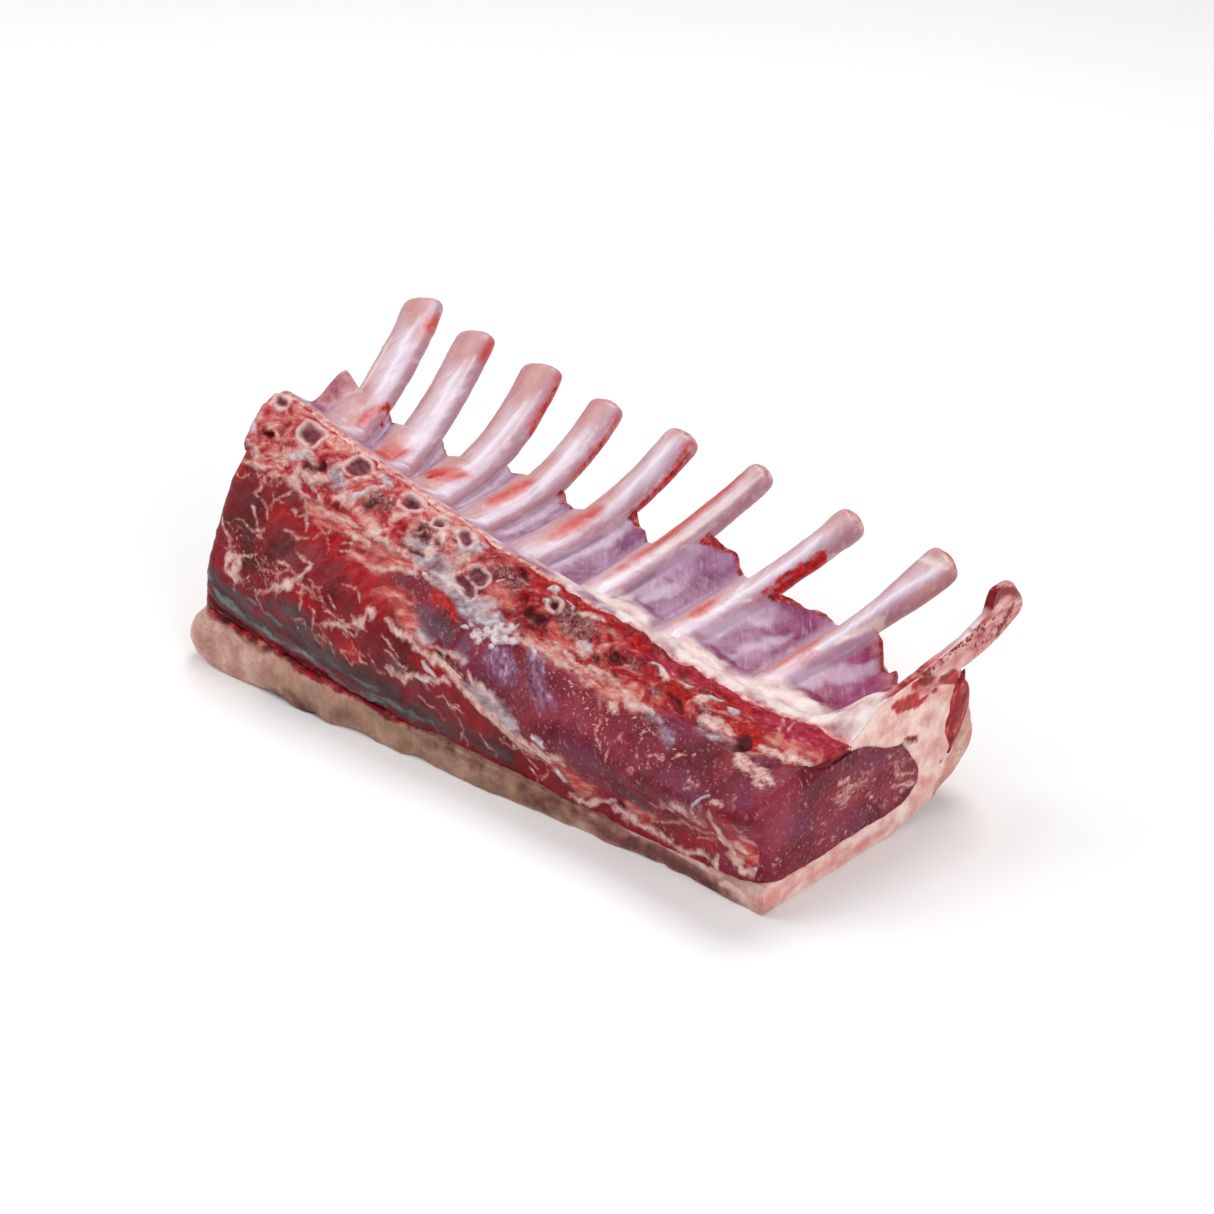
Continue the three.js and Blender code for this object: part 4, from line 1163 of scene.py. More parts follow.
def fat_place(u, v, w):
    x = lerp(SHOULDER_END, LOIN_END, u)
    s = stations(x)
    outer_y, outer_z = skin_curve(s, v)
    inner_y, inner_z = fat_top_curve(s, v)
    inner_y = inner_y - 3.4 * np.sin(np.pi * np.clip((v - 0.7) / 0.3, 0, 1)) ** 0.7
    inner_z = lerp(inner_z, chest_floor(x, inner_y, 1) + 0.4, smooth(v, 0.8, 0.9))
    y = lerp(outer_y, inner_y, w)
    ahead = 1 - smooth(v, 0.12, 0.34)
    line = line_places(x, 7.0)
    lumps = 1.5 * rough(line, 19, seed=43) + 0.9 * rough(line, 7, seed=47) * hump(outer_z, 0, 6)
    y = y + lumps * ahead * (1 - 0.7 * w)
    z = np.maximum(lerp(outer_z, inner_z, w), 0)
    plump = np.sin(np.pi * np.clip(z / FAT_BULGE_TOP, 0, 1)) ** 0.7
    plump = plump * (1 - smooth(x, SHOULDER_END, SHOULDER_END + 20))
    front_y = s["toe"] - 1.5
    from_end, from_face = rounded_corner(x - SHOULDER_END, y - front_y, FAT_CORNER_RADIUS)
    y = front_y + from_face - 4 * plump * ahead
    return skewed(SHOULDER_END + from_end - 5 * plump, y), y, z


def flank_place(u, v, w):
    x = lerp(SHOULDER_END, LOIN_END, u)
    s = stations(x)
    outer_y, outer_z = skin_curve(s, lerp(8 / 11, 1, v))
    inner_y = lerp(s["tip"][0], s["trim"][0], v)
    inner_z = lerp(s["tip"][1], s["trim"][1], v)
    near_loin = smooth(x, LOIN_END - 30, LOIN_END)
    leaf = 0.3 + 4.1 * np.sin(np.pi * np.clip((v - 0.08) / 0.78, 0, 1)) ** 0.8
    half = lerp(FLANK_THICKNESS / 2, leaf, near_loin)
    middle = lerp(lerp(0.6, 0.46, v), lerp(0.47, 0.34, v), near_loin)
    thickness = np.hypot(outer_y - inner_y, outer_z - inner_z)
    part = middle + (2 * w - 1) * half / np.maximum(thickness, 5)
    y = lerp(outer_y, inner_y, part)
    proud = 0.4 * (u == 1) - 0.3 * (u == 0)
    return skewed(x, y) + proud, y, lerp(outer_z, inner_z, part) + 0.5 * (v == 1)


def fat_finish():
    f = Finish("fat_cap", **FAT_GLOSS)
    f.colour = f.mottle(
        8, (0.32, "#a97062"), (0.5, "#c49687"), (0.7, "#dbbbae"), detail=5, roughness=0.6)
    # Tan and brown, low on the fat's front: partly the fat's own tan, partly painted shade towards
    # the bottom.
    olive = f.mottle(
        6, (0.32, "#7c5a46"), (0.5, "#9c765f"), (0.7, "#b8937d"), detail=5, roughness=0.6)
    f.coat("tan", olive, soft=6, ragged=4, grain=9, cover=0.92)
    brown = f.mottle(
        3, (0.32, "#451819"), (0.5, "#693431"), (0.7, "#8e5a4e"), detail=5, roughness=0.6)
    f.coat("brown", brown, soft=3, ragged=4, grain=6, cover=0.92, detail=4)
    skin = f.veins(9, 0.02)
    f.tint(f.maths("MULTIPLY", skin, 0.4), "#8f4a42")
    f.coat("cream", cream_fat(f), soft=0.6, ragged=1.2, grain=3, detail=4)
    f.coat("blush", "#cf6a66", soft=1.5, ragged=2, grain=3, cover=0.6)
    f.coat("slate", "#5c5452", soft=0.8, ragged=1.2, grain=3, cover=0.8)
    blood = f.mottle(3, (0.36, "#5c0b12"), (0.5, "#8a1018"), (0.66, "#ad1d20"), detail=4)
    f.coat("red", blood, soft=0.6, ragged=1.3, grain=3, detail=4)
    fine = f.noise(1.6, detail=4, roughness=0.6)
    rough_value = f.span(f.noise(3), 0.3, 0.7, 0.34, 0.5)
    relief = f.bump(f.noise(5, detail=3), 0.9)
    return f.done(rough_value, f.bump(fine, 0.35, relief))


# Strokes on the front of the fat, as (x, z).
FAT_FRONT = dict(
    # Tan and brown: partly the fat's own tan, partly painted shade towards its bottom.
    tan=[(8, (-60, 3), (-40, 4), (-10, 4), (20, 4), (40, 3))],
    brown=[
        (2.2, (-64, 0), (-50, 1), (-36, 0)), (2.6, (26, 5), (40, 5), (60, 3)),
        (3.6, (50, 3), (72, 2), (92, 1.5)), (1.2, (-10, 8.6), (6, 8), (20, 7))],
    cream=[(1.5, (56, 7.4), (72, 6.2), (88, 6.6)), (1.2, (88, 4), (98, 4))],
    slate=[(0.5, (-88, 18), (-72, 14.5), (-50, 12.5))],
    red=[
        (1.1, (-90, 17.8), (-76, 16.6), (-62, 14.8)), (1.2, (-62, 14.6), (-44, 12.8), (-26, 11)),
        (0.8, (-30, 11), (-8, 9.8)), (0.6, (60, 8.6), (84, 7.4))],
)

# Strokes on the cut across the loin end, as (y, z): on the fat and on the rib cage.
LOIN_CUT = dict(
    cream=[(40, (30, 30))],
    blush=[
        (1, (6, 2.6), (24, 3.4), (44, 3.2)), (2, (-2, 4), (5, 5)), (1.4, (54.6, 14), (56, 12)),
        (0.9, (57, 11.6), (61, 10.4)), (1, (73.6, 16), (76, 19)), (0.8, (72, 22), (74.6, 25)),
        (0.9, (39.6, 34.2), (46, 34.4)), (1.2, (0, 6), (8, 5)), (0.7, (47, 31), (54, 26)),
        (0.8, (50, 44.6), (60, 44)), (0.8, (60, 35), (66, 34)), (0.7, (66, 10), (70, 13))],
    red=[
        (2.3, (44, 39.4), (50, 38.4), (55.6, 36.8)), (1.3, (42, 40.6), (53, 40)),
        (1.7, (50, 43.4), (54, 42.4), (59, 41)), (2.2, (58, 40.2), (64, 39.2), (68, 37.6)),
        (0.8, (56, 38.6), (60, 37)), (0.9, (48.4, 28.6), (50.6, 27.4), (53.4, 25.4)),
        (0.35, (63, 14.6), (65, 12.6)), (0.25, (69, 13), (70, 11.6)), (0.5, (54.6, 15), (55.4, 13)),
        (0.3, (63.2, 20), (62.2, 16.4)), (0.8, (11, 8.4), (13.6, 7))],
)


def loin_cut(piece, coat):
    """Distance from the strokes of a coat on the cut across the loin end."""
    _, y, z = piece.points.T
    return stroke_gap(*wandered(y, z, seed=331), LOIN_CUT.get(coat, []))


def paint_fat(piece):
    """Paints the fat cap, and gives the height of the lumps on it."""
    x, _, z = piece.points.T
    on_end = piece.u > 0.99
    on_front = (piece.v < 0.22) & ~on_end
    front_a, front_b = wandered(x, z, seed=321)
    for coat in ("tan", "brown", "cream", "slate", "red", "blush"):
        gap = np.where(on_front, stroke_gap(front_a, front_b, FAT_FRONT.get(coat, [])), FAR)
        piece.paint(coat, np.where(on_end, loin_cut(piece, coat), gap))
    lumps = 0.8 * rough(piece.points, 13, seed=41) + 0.25 * rough(piece.points, 4, seed=51)
    return lumps * np.where(z < 0.4, 0, 1)


fat = Piece("fat_cap_skin", (240, 170, 8), fat_place)
fat.raise_by(paint_fat(fat))
fat.finish(fat_finish(), "fat", "fat_cap")


def flank_finish():
    f = Finish("flank_muscle_cut", **MEAT_GLOSS)
    tone = f.noise(2.2, detail=5, roughness=0.65, stretch=(1, 1, 2), turn=(-24, 0, 0))
    f.colour = f.ramp(
        tone, (0.32, "#5a1016"), (0.46, "#8f1c24"), (0.58, "#a83a3e"), (0.7, "#d08d86"))
    return f.done(f.span(tone, 0.3, 0.7, 0.35, 0.5), f.bump(tone, 0.4))


flank = Piece("flank_muscle", (150, 36, 3), flank_place, soften=1, soften_reach=1)
flank.finish(flank_finish(), "dark_meat", "flank_strip")

# ---- Chine -------------------------------------------------------------------------------


def crest_lumps(x):
    """The uneven crest where the backbone's cut face meets the chest side."""
    return 0.9 * rough(line_places(x), 9, seed=151, octaves=4)


def chine_place(u, v, w):
    x = lerp(SHOULDER_END, LOIN_END, u)
    y = lerp(along(CHINE_FRONT_Y, x), along(RIDGE_Y, x), v)
    z = lerp(along(CHINE_FRONT_Z, x), along(RIDGE_Z, x), v)
    lip = 1 - smooth(v, 0, 0.08)
    eave = smooth(v, 0.93, 1)
    y = y - 0.45 * lip + CHINE_EAVE * eave
    z = z - 0.8 * lip - 0.9 * eave**2
    crown = CHINE_CROWN * np.sin(np.pi * v) ** 2
    vertebra = 0.6 * np.cos((x - 12) * 2 * np.pi / VERTEBRA_STEP) * np.sin(np.pi * v)
    vertebra = vertebra + crest_lumps(x) * v**2
    seat = z - lerp(2.0, chine_depth(x), np.minimum(1, v * 1.6))
    front_y = along(CHINE_FRONT_Y, x) - 0.45
    from_end, from_face = rounded_corner(LOIN_END - x, y - front_y, CORNER_RADIUS)
    y = front_y + from_face
    return skewed(LOIN_END - from_end, y), y, lerp(seat, z + crown + vertebra, w)


chine = Piece("sawn_chine", (560, 60, 10), chine_place, soften=1)
chine.raise_by(paint_face(chine, chine.w > 0.4))
chine.finish(cut_face_finish("sawn_backbone", *RED_MEAT), "sawn_bone", "chine")

# ---- Ribs and the rib cage between them --------------------------------------------------


def rib_slope(rib, y):
    return rib["lean"] + 2 * rib["bend"] * (y - LEAN_FROM_Y)


def across_rib(rib, x, y):
    """Millimetres across from a rib's middle line, and that line's nearest y."""
    slope = rib_slope(rib, y)
    off = x - rib_x(rib, y)
    square = 1 + slope**2
    return off / np.sqrt(square), y + off * slope / square


# Strokes of each coat on each rib in turn, as (y, millimetres across from its middle).
RIB_STROKES = dict(
    blush=(
        [(4.5, (66, 0), (76, 0)), (2, (60, 4), (68, 6)), (3, (24, 1), (40, -2))],
        [(5, (64, 0), (75, 0)), (1.5, (48, -6), (62, -6)), (3.4, (22, -2), (36, -3))],
        [(5.5, (66, -1), (79, 0)), (1.6, (46, -6), (64, -6)), (3.4, (26, -2), (44, -3))],
        [(4.6, (70, -1), (81, 0)), (1.4, (50, -5.5), (70, -5.5)), (2.6, (30, -1), (60, -3))],
        [(2.2, (80, 0), (84, 0)), (1.4, (54, -5), (72, -5)), (2.8, (34, 0), (62, -2))],
        [(2, (40, -1), (62, -1.4), (84, -1.6)), (1.6, (80, 0), (86, 2))],
        [(2.6, (81, 0), (88, 1)), (1.6, (40, -1), (54, -1.6))],
        [
            (0.9, (42, -1), (64, -1.6)), (1.2, (82, 4), (88, 5)), (1, (87, -4), (89, 4)),
            (0.8, (70, -4.4), (84, -5.6))],
        [(2, (40, 0), (66, 0))],
    ),
    rose=(
        [(1.2, (64, 5), (69, 6.6)), (1.6, (26, 3), (34, 5))],
        [(2.4, (26, -5), (31, 2)), (1.3, (66, 5.6), (72, 6.6))],
        [(2.6, (31, -6), (38, 3)), (0.8, (60, 6.6), (76, 7))],
        [(1.8, (36, -2), (50, -1)), (0.6, (60, 6), (78, 6.2))],
        [(2, (40, 0), (56, 0)), (0.8, (80, 4), (83, 5))], [(0.9, (44, -1), (80, -2))],
        [(1.3, (45, -1), (52, -1))], [(0.5, (44, -1), (60, -1.4)), (0.5, (46, 1.4), (56, 1.6))],
        [(1.6, (42, 0), (62, 1)), (1, (76, 1), (88, 0))]),
    blood=(
        [(0.8, (34, 5.6), (37, 7))], [], [(0.7, (30, -4), (34, -2)), (0.35, (60, 7), (74, 7.2))],
        [(0.35, (62, 6.2), (76, 6.4))], [(0.6, (62, 6), (72, 6.2), (81, 5.4))], [],
        [(1.5, (62, 5.0), (70, 4.4), (79, 4.6))], [],
        [(1, (60, 2), (68, 2.4)), (1.4, (82, -2), (88, -1))]),
    cream=(
        [(0.5, (36, -4), (60, -4))], [(0.4, (40, 3), (66, 4))], [(0.4, (44, 3), (70, 4))],
        [(0.3, (50, 3), (72, 3))], [], [(0.7, (44, 1.8), (84, 2.6))], [(0.4, (56, 2), (60, 4))],
        [(0.8, (62, 2.6), (74, 4)), (0.4, (66, -3.4), (84, -5)), (0.5, (84, -4), (88.4, 3))], []),
)


def bone_colour(f):
    """Scraped rib bone: dusky at its left and grey-lilac at its right, partly as painted shade,
    with a painted highlight along the top.
    """
    tone = f.noise(7, detail=3, stretch=(1, 4, 2))
    across = f.maths("MULTIPLY_ADD", f.maths("SUBTRACT", tone, 0.5), 0.9, f.painted("across"))
    # The ramp across the rib paints light: painted shade towards both sides, a painted highlight
    # along the top.
    f.colour = f.ramp(
        f.span(across, -1.1, 1.1), (0.05, "#c0989f"), (0.3, "#d1b1b9"), (0.5, "#d8c2cc"),
        (0.62, "#ebe1e9"), (0.74, "#dccddb"), (0.88, "#c4a9ba"), (1.0, "#b07f8a"))
    streak = f.noise(1.2, detail=4, stretch=(1, 7, 3))
    f.tint(f.span(streak, 0.52, 0.72, 0, 0.3), "#f0e6ee")
    f.tint(f.span(streak, 0.46, 0.3, 0, 0.25), "#a98391")
    f.coat("blush", "#c18078", soft=3.0, ragged=2.0, grain=5, cover=0.75)
    f.coat("rose", "#c4352f", soft=1.8, ragged=1.5, grain=4, cover=0.85)
    f.coat("cream", "#e9d4cb", soft=0.5, ragged=0.6, grain=3, cover=0.8)
    blood = f.mottle(1.5, (0.35, "#7a0409"), (0.5, "#b5080e"), (0.66, "#cf1c1c"), detail=4)
    f.coat("blood", blood, soft=0.5, ragged=1.2, grain=2, cover=0.97)
    return streak


def rib_finish():
    f = Finish("scraped_rib_bone", **BONE_GLOSS)
    streak = bone_colour(f)
    rim = f.mottle(1.2, (0.35, "#a3625f"), (0.5, "#c08d86"), (0.7, "#dcbdb4"), detail=4)
    f.coat("end_cut", rim, soft=0.4, ragged=0.4, grain=1.5, cover=0.8)
    sawn = f.mottle(
        2.0, (0.33, "#a23e42"), (0.44, "#c0736f"), (0.56, "#d39b94"), (0.72, "#e6c2b8"), detail=5,
        roughness=0.6, stretch=(1, 3, 1))
    f.coat("sawn_face", sawn, soft=0.3, ragged=0.3, grain=1.5)
    f.coat("flap", "#800a14", soft=0.6, ragged=1.0, grain=1.4)
    dots = f.span(f.grains(1.25), 0.5, 0.38)
    dots = f.maths("MULTIPLY", dots, f.span(f.painted("pores"), 0.8, -0.8))
    f.tint(dots, "#760c17")
    relief = f.bump(streak, 0.14)
    return f.done(f.span(streak, 0.3, 0.7, 0.2, 0.34), relief)


def rib_line(rib):
    """A rib's middle line from its buried foot to its end, as evenly spaced x, y, z."""
    foot_y = along(RIDGE_Y, np.array([rib["foot"]]))[0] + RIB_FOOT_Y
    y = np.linspace(foot_y, rib["end"], RIB_LINE_STEPS)
    x = rib_x(rib, y)
    sink = lerp(FOOT_SINK, RIB_SINK, smooth(y - foot_y, 0, FOOT_REACH))
    droop = 2.8 * smooth(y, 55, 72) if rib.get("sawn") else 0
    line = np.stack((x, y, chest_height(x, y) + loin_lift(x, y) - sink - droop), axis=1)
    run = np.concatenate(([0], np.cumsum(np.linalg.norm(np.diff(line, axis=0), axis=1))))
    even = np.linspace(0, run[-1], len(run))
    return np.stack([np.interp(even, run, line[:, axis]) for axis in range(3)], axis=1)


def rib_place_of(rib):
    """The place function of one rib: a rounded bar along its middle line."""
    line = rib_line(rib)
    tangents = np.gradient(line, axis=0)
    tangents /= np.linalg.norm(tangents, axis=1)[:, None]
    shares = np.linspace(0, 1, len(line))
    thickness = SAWN_RIB_THICKNESS if rib.get("sawn") else RIB_THICKNESS

    def place(t, v, w):
        from_end = np.minimum(t, 1 - t) / RIB_END_ROUNDING
        dome = 0.72 + 0.28 * np.sqrt(1 - (1 - np.minimum(from_end, 1)) ** 2)
        knob = 1 + (rib.get("knob", 1) - 1) * smooth(t, 0.88, 0.94)
        flare = 1 + (rib.get("flare", 1) - 1) * smooth(t, 0.62, 0.95)
        thin = 1 - (0.25 * smooth(t, 0.7, 0.95) if "flare" in rib else 0)
        foot = lerp(0.55, 1, smooth(t, 0, 0.18))
        tall = 1 + (0.36 * smooth(t, 0.5, 0.84) if rib.get("sawn") else 0)
        p, q = 2 * v - 1, 2 * w - 1
        across = p * np.sqrt(1 - q * q / 2)
        through = q * np.sqrt(1 - p * p / 2)
        rim = np.hypot(across, through)
        boxier = np.maximum(rim, 1e-6) ** (1 - RIB_BOXINESS)
        across = np.sign(across) * np.abs(across) ** RIB_BOXINESS * boxier
        through = np.sign(through) * np.abs(through) ** RIB_BOXINESS * boxier
        dish = 0.0
        if "flare" in rib:
            dish = -0.9 * smooth(t, 0.68, 0.95) * (1 - across**2) * (w > 0.5)
        middle, tangent = (
            np.stack([np.interp(t, shares, track[:, axis]) for axis in range(3)], axis=1)
            for track in (line, tangents))
        side = np.array((1.0, 0, 0)) - tangent * tangent[:, :1]
        side /= np.linalg.norm(side, axis=1)[:, None]
        normal = np.cross(side, tangent)
        wide = across * rib["width"] / 2 * dome * knob * flare
        thick = through * thickness / 2 * dome * knob * thin * foot * tall + dish
        cap = 1.0 * (1 - rim**2) * (t == 1)
        points = middle + side * wide[:, None] + normal * thick[:, None] + tangent * cap[:, None]
        if rib.get("sawn"):
            y = points[:, 1]
            flap = smooth(y, *END_FLAP_Y[:2]) * (1 - smooth(y, *END_FLAP_Y[2:]))
            points[:, 2] += END_FLAP_LIFT * flap * smooth(through, 0.3, 1)
            sunk = SAWN_RIB_SUNK * (1 - smooth(y, 49, 55))
            plane = LOIN_END + SAWN_RIB_PROUD - sunk + LOIN_CUT_SKEW * y
            points[:, 0] = np.minimum(points[:, 0], plane)
        return points.T

    return place


SAWN_RIB_PORES = [
    (2, (42, 45), (54, 46), (66, 47.6), (80, 49.6)), (1.6, (72, 45), (84, 46), (87, 50))]
SAWN_RIB_FLAP = [
    (0.8, (50, 46.6), (54, 44.4), (59, 42)), (0.6, (60, 48.4), (72, 51)),
    (0.5, (43, 45.4), (48, 44)), (2.4, (78.8, 55), (80.4, 57.4)),
    (1.7, (80, 58), (84, 56.6), (89, 53.6)), (1, (78, 52.6), (79, 55)),
    (1, (82, 44.6), (85, 47), (88, 51)), (1.2, (50, 43.6), (58, 41.6)), (1.3, (60, 40), (67, 39.6)),
    (0.6, (54, 47), (62, 48.4)), (0.6, (66, 50), (70, 50.4)), (0.5, (52, 45), (58, 45.6))]


def paint_rib(bone, number, rib):
    """Paints one rib, with its sawn side if it has one."""
    x, y, z = bone.points.T
    across, near_y = across_rib(rib, x, y)
    for coat, strokes_of in RIB_STROKES.items():
        bone.paint(coat, stroke_gap(near_y, across, strokes_of[number]))
    # Share of the way across the rib, which places its painted highlight and shade.
    bone.paint("across", 2 * across / rib["width"])
    bone.paint("end_cut", np.where(bone.u == 1, -1.0, np.where(bone.u > 0.985, 0.3, FAR)))
    sawn_gap = pore_gap = flap_gap = np.full(x.size, FAR)
    if rib.get("sawn"):
        sawn_gap = LOIN_END + LOIN_CUT_SKEW * y - x
        pore_gap = np.where(sawn_gap < 0, stroke_gap(y, z, SAWN_RIB_PORES), FAR)
        flap_gap = stroke_gap(*wandered(y, z, seed=361), SAWN_RIB_FLAP)
    bone.paint("sawn_face", sawn_gap)
    bone.paint("pores", pore_gap)
    bone.paint("flap", flap_gap)


rib_material = rib_finish()
for number, rib in enumerate(RIBS):
    counts = (150, 16, 14) if rib.get("sawn") else (150, 14, 8)
    bone = Piece(f"bare_rib_{number + 1}", counts, rib_place_of(rib), soften=2, soften_reach=2)
    paint_rib(bone, number, rib)
    grain = 0.05 * rough(bone.points, 2, seed=91)
    bone.raise_by(0.16 * rough(bone.points, 7, seed=81 + number) + grain)
    bone.finish(rib_material, "rib_bone", f"rib_{number + 1}")

# Strokes on the chest side, as (x, y): fat over the ribs' feet, bands of membrane, red spots.
CHEST_STROKES = dict(
    fat=[
        (3, (-8, 24), (0, 27), (8, 31)), (6, (4, 26), (16, 31), (28, 35)),
        (7.5, (26, 26), (40, 31), (50, 37)), (8.5, (48, 29), (66, 34), (80, 41)),
        (9, (74, 32), (90, 37), (101, 38))],
    pale=[
        (0.9, (6, 36), (12, 50), (20, 62)), (1.2, (-6, 34), (-2, 48), (2, 62)),
        (2, (36, 40), (44, 52), (50, 62)), (1.4, (20, 40), (24, 52)),
        (2.4, (62, 42), (74, 54), (82, 62)), (0.8, (-22, 32), (-20, 50)),
        (0.8, (-38, 30), (-36, 44)), (1.6, (50, 44), (56, 60))],
    spot=[
        (0.8, (84, 38), (88, 39)), (0.6, (90, 41), (93, 41.5)), (1, (-72, 36), (-70, 33)),
        (1.6, (94, 48), (98, 46))],
    rosy=[
        (3.4, (-88, 24), (-87, 34), (-86, 42)), (2.4, (-88, 16), (-80, 18), (-66, 20), (-50, 22)),
        (1.8, (-50, 22), (-36, 24), (-22, 26)), (1.4, (-22, 25), (-8, 24)),
        (2, (-90, 40), (-86, 56)), (1.6, (80, 67.6), (86, 62.6), (92, 56.4), (98, 50), (100, 46))],
)


def chest_fields(x, y):
    """For each place on the chest side: the nearest rib, how far its edge is, and where on it."""
    fields = []
    for rib in RIBS:
        across, near_y = across_rib(rib, x, y)
        fields.append((np.abs(across) - rib["width"] / 2, across, near_y))
    gaps = np.stack([field[0] for field in fields])
    nearest = gaps.argmin(axis=0)
    who = np.arange(x.size)
    across = np.stack([field[1] for field in fields])[nearest, who]
    near_y = np.stack([field[2] for field in fields])[nearest, who]
    return nearest, gaps[nearest, who], across, near_y


def chest_relief(x, y):
    """Height of the membrane over the ribs and of the fat over their feet."""
    out = y - along(RIDGE_Y, x)
    _, gap, across, _ = chest_fields(x, y)
    half = np.abs(across) - gap
    inside = np.clip(1 - np.abs(across / (half + 0.8)) ** 2.6, 0, 1) ** (1 / 2.6)
    thickness = RIB_THICKNESS / 2
    skin = lerp(-0.5, 0.35, smooth(trim_line(x) - y, 0.5, 6))
    over_rib = (thickness + skin) * inside - RIB_SINK
    over_rib = over_rib * smooth(out, 4, 20)
    hollow = -0.9 * smooth(gap, 0.5, 6) * smooth(out, 8, 20)
    lifted = higher(over_rib, hollow, 1.4)
    fat = cover_of(stroke_gap(x, y, CHEST_STROKES["fat"]), 3.5)
    return higher(lifted, 2.2 * fat * smooth(out, 1, 6), 1.2)


def chest_place(u, v, w):
    x = lerp(SHOULDER_END, LOIN_END, u)
    edge = trim_line(x) + TRIM_ROUGH * rough(line_places(x), 5, seed=5)
    y = lerp(wall_foot(x), edge, v)
    flap = (1 - smooth(x, SHOULDER_END, SHOULDER_END + 6)) * smooth(v, 0.45, 0.95)
    base = chest_height(x, y)
    top = base + loin_lift(x, y) + FLAP_LIFT * flap + chest_relief(x, y) - 0.3 * (v == 0)
    at_foot = 1 - smooth(y - wall_foot(x), 0, 5)
    top = top + crest_lumps(x) * at_foot - 1.1 * at_foot**2
    lap = (1.3 + 2.4 * smooth(y, 34, 44)) * smooth(x, LOIN_END - 40, LOIN_END)
    lap = lap * (1 - smooth(y, 53, 58))
    floor = chest_floor(x, y, v) - lap
    cut_back = 1.0 * (1 - w) * (v == 1)
    return skewed(x, y), y + cut_back, lerp(floor, top, w)


def chest_finish():
    f = Finish("chest_membrane", **BONE_GLOSS)
    # The rib's colour, with its painted highlight and shade, for the membrane over the ribs.
    bone_colour(f)
    bone = f.colour
    tone = f.noise(9, detail=4, warp=0.5)
    lilac = f.ramp(tone, (0.3, "#70395f"), (0.46, "#875173"), (0.58, "#966688"), (0.72, "#aa83a2"))
    berry = f.ramp(tone, (0.3, "#761c42"), (0.46, "#8c2e55"), (0.6, "#9a4670"), (0.72, "#a96a8f"))
    f.colour = f.mix(f.span(f.painted("loinward"), 0.0, 1.0), lilac, berry)
    fibres = f.noise(1.0, detail=4, roughness=0.65, stretch=(1, 8, 4), turn=(0, 0, 44))
    f.tint(f.span(fibres, 0.54, 0.74, 0, 0.45), "#bf9fb9")
    f.tint(f.span(fibres, 0.46, 0.3, 0, 0.45), "#74254c")
    # Painted highlight: a pale band along the ribs' sides, widest on their right, where the light
    # falls.
    f.coat("rib_side_highlight", "#b695ab", soft=1.8, ragged=1.4, grain=4, cover=0.65)
    f.coat("over_rib", bone, soft=1.2, ragged=0.8, grain=4)
    f.coat("pale", "#c9b1c4", soft=1.5, ragged=1.6, grain=3, cover=0.6)
    rosy = f.mottle(
        3, (0.32, "#a8464a"), (0.48, "#c77f7a"), (0.62, "#d9a49c"), (0.75, "#e6c5bd"), detail=5,
        roughness=0.6)
    f.coat("rosy", rosy, soft=2.6, ragged=2.6, grain=4, cover=0.6)
    fat_tone = f.mottle(
        6, (0.3, "#c59d9c"), (0.44, "#dec3bf"), (0.58, "#ecdad6"), (0.72, "#f4e9e7"), detail=5,
        roughness=0.6)
    f.coat("fat", fat_tone, soft=2.6, ragged=3.0, grain=5, detail=4)
    rim = f.mottle(
        2.4, (0.34, "#a33c40"), (0.46, "#cb817a"), (0.6, "#dfb2a9"), (0.74, "#ecd3ca"), detail=5,
        roughness=0.65)
    f.coat("crest", rim, soft=1.0, ragged=2.0, grain=3, detail=4)
    f.coat("crest_blood", "#9c0d17", soft=0.5, ragged=1.3, grain=2.2, detail=4, cover=0.9)
    # Painted shade: a grey-purple line in the groove beside some ribs.
    f.coat("groove_shade", "#6a5c68", soft=0.5, ragged=0.3, grain=3, cover=0.6)
    raw = f.mottle(
        1.5, (0.34, "#4a0a10"), (0.46, "#861a22"), (0.58, "#a8383c"), (0.7, "#c98a84"), detail=5,
        roughness=0.65)
    f.coat("trimmed", raw, soft=0.6, ragged=1.0, grain=2.2, detail=4)
    f.coat("end_cream", cream_fat(f), soft=0.5)
    f.coat("end_blush", "#cf6a66", soft=1.5, ragged=2, grain=3, cover=0.6)
    blood = f.mottle(2, (0.36, "#860a10"), (0.5, "#b01016"), (0.66, "#cc2022"), detail=4)
    f.coat("spot", blood, soft=0.5, ragged=1.1, grain=2)
    relief = f.bump(fibres, 0.15)
    relief = f.bump(f.noise(3.5, detail=3), 0.25, relief)
    return f.done(f.span(tone, 0.3, 0.7, 0.24, 0.38), relief)


def paint_over_ribs(piece, nearest, across, near_y):
    """The ribs' own coats, carried on under the membrane."""
    for coat, strokes_of in RIB_STROKES.items():
        value = np.full(nearest.size, FAR)
        for number, strokes in enumerate(strokes_of):
            mine = nearest == number
            value[mine] = stroke_gap(near_y[mine], across[mine], strokes)
        piece.paint(coat, value)


SHADED_GROOVE_RIBS = (4, 5)         # counted from 0: a groove's painted shade runs beside these
FRAYED_RIBS = (3, 4, 5, 6)    # the trimmed edge's raw meat climbs beside these
FRAY_REACH = 3.2


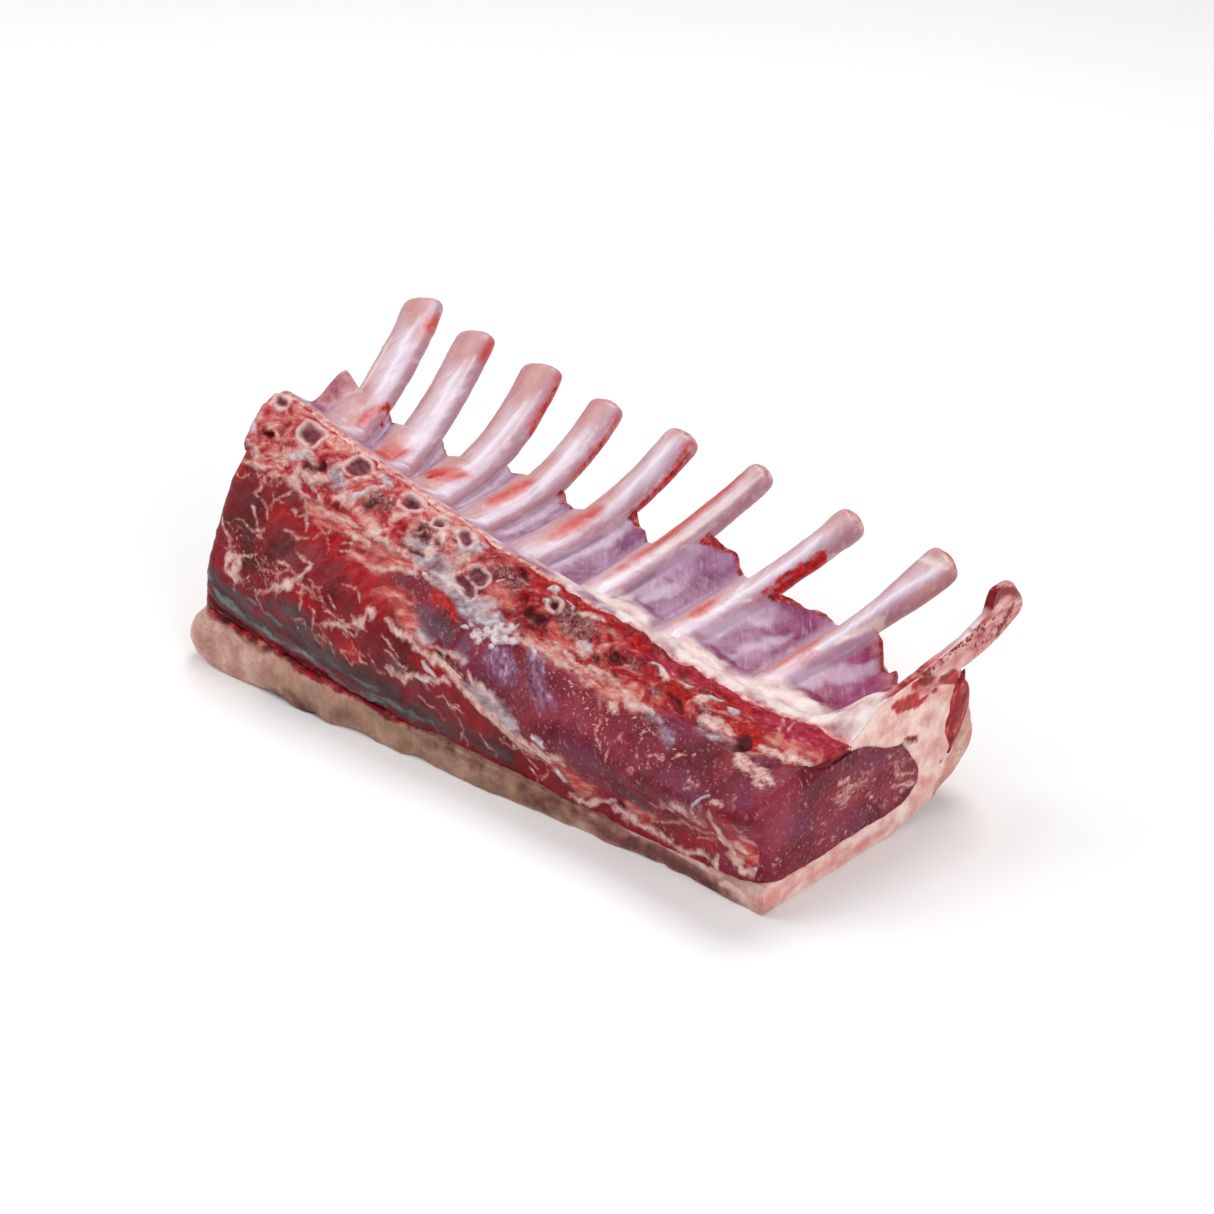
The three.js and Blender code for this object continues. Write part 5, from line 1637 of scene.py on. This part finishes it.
def paint_chest(piece):
    """Paints the rib cage: membrane, fat, the crest, the trimmed edge and the loin end."""
    x, y, _ = piece.points.T
    on_top = piece.w > 0.55
    on_end = piece.u == 1
    nearest, gap, across, near_y = chest_fields(x, y)
    paint_over_ribs(piece, nearest, across, near_y)
    # Share of the way across the nearest rib, which places the painted highlight and shade over it.
    piece.paint("across", across / (np.abs(across) - gap))
    piece.paint("over_rib", np.where(on_end, FAR, gap))
    # Painted highlight beside each rib: 3 mm wide on its right, 1.4 mm on its left.
    piece.paint("rib_side_highlight", gap - np.where(across > 0, 3.0, 1.4))
    piece.paint("loinward", smooth(x, 20, 95))

    wandered_x, wandered_y = wandered(x, y, seed=341, amount=1.4)
    for coat, strokes in CHEST_STROKES.items():
        value = np.where(on_top & ~on_end, stroke_gap(wandered_x, wandered_y, strokes), FAR)
        if coat == "spot":
            value = np.where(on_end, loin_cut(piece, "red"), value)
        piece.paint(coat, value)
    piece.paint("end_cream", np.where(on_end, -FAR, FAR))
    piece.paint("end_blush", np.where(on_end, loin_cut(piece, "blush"), FAR))

    out = y - along(RIDGE_Y, x)
    piece.paint("crest", out - lerp(3.2, 1.6, smooth(x, -30, 10)))
    piece.paint("crest_blood", np.where(x > -16, out - 0.2, FAR))
    # A line of painted shade along the right edge of these ribs.
    in_groove_shade = (across > 0) & (near_y > 34) & (near_y < 52) & np.isin(nearest, SHADED_GROOVE_RIBS)
    piece.paint("groove_shade", np.where(in_groove_shade, np.abs(gap - 0.6) - 0.3, FAR))

    edge_gap = trim_line(x) - y + 1.5 * smooth(x, 70, 76)
    frayed = (across > 0) & np.isin(nearest, FRAYED_RIBS)
    beside_rib = FRAY_REACH * np.exp(-np.maximum(gap, 0) / 4) * frayed
    on_wall = edge_gap - 0.7 - beside_rib + FAR * cover_of(gap, 0.5)
    trimmed = np.where(on_top, on_wall, edge_gap - 3.5)
    flap_gap = stroke_gap(y, x, [(1.6, (56, -89.5), (40, -89))])
    piece.paint("trimmed", np.where(on_end, FAR, np.minimum(trimmed, flap_gap)))


chest = Piece("chest_side", (400, 100, 14), chest_place, soften=1, soften_reach=1)
paint_chest(chest)
grain = 0.06 * rough(chest.points, 2, seed=111)
chest.raise_by(0.14 * rough(chest.points, 6, seed=101) + grain)
chest.finish(chest_finish(), "membrane", "chest_wall")

# ---- Camera, light and floor -------------------------------------------------------------


def working_to_world(x, y, z):
    return Vector(((x - BASE_MIDDLE[0]) * MM, (y - BASE_MIDDLE[1]) * MM, z * MM))


def aim(thing, target):
    direction = target - thing.location
    thing.rotation_euler = direction.to_track_quat("-Z", "Y").to_euler()


TARGET = working_to_world(2.7, 46.82, 25.04)
VIEW_AZIMUTH = math.radians(44)
VIEW_HEIGHT = math.radians(31)
VIEW_DISTANCE = 0.675
LENS = 74.14
SENSOR_WIDTH = 36
WORLD_LIGHT = 0.34
FLOOR_SIZE = 6

camera_data = bpy.data.cameras.new("view_camera")
camera_data.lens = LENS
camera_data.sensor_width = SENSOR_WIDTH
camera_data.clip_start = 0.01
camera = bpy.data.objects.new("view_camera", camera_data)
bpy.context.scene.collection.objects.link(camera)
camera.location = TARGET + VIEW_DISTANCE * Vector((
    math.sin(VIEW_AZIMUTH) * math.cos(VIEW_HEIGHT),
    -math.cos(VIEW_AZIMUTH) * math.cos(VIEW_HEIGHT),
    math.sin(VIEW_HEIGHT),
))
aim(camera, TARGET)
bpy.context.scene.camera = camera


def soft_box(name, place, size, power):
    light = bpy.data.lights.new(name, "AREA")
    light.shape = "RECTANGLE"
    light.size, light.size_y = size
    light.energy = power
    box = bpy.data.objects.new(name, light)
    bpy.context.scene.collection.objects.link(box)
    box.location = Vector(place)
    aim(box, TARGET)


soft_box("key_light", (-0.16, 0.42, 1.05), (0.6, 0.5), 6.4)
soft_box("fill_light", (-0.8, -0.5, 0.7), (0.7, 0.7), 5.4)
soft_box("side_light", (0.95, -0.2, 0.55), (0.6, 0.5), 5.2)

world = bpy.data.worlds.new("studio")
world.use_nodes = True
background = world.node_tree.nodes["Background"]
background.inputs["Color"].default_value = (1, 1, 1, 1)
background.inputs["Strength"].default_value = WORLD_LIGHT
bpy.context.scene.world = world
bpy.context.scene.view_settings.view_transform = "Standard"

floor_shape = bmesh.new()
bmesh.ops.create_grid(floor_shape, x_segments=1, y_segments=1, size=FLOOR_SIZE)
floor_mesh = bpy.data.meshes.new("floor")
floor_shape.to_mesh(floor_mesh)
floor_shape.free()
floor = bpy.data.objects.new("floor", floor_mesh)
bpy.context.scene.collection.objects.link(floor)
paper = Finish("pale_paper", Specular_IOR_Level=0.1)
paper.colour = paper.mottle(400, (0.0, "#f7f7f7"), (1.0, "#fbfbfb"), detail=1)
floor_mesh.materials.append(paper.done(0.9, paper.bump(paper.noise(1.5), 0.02)))
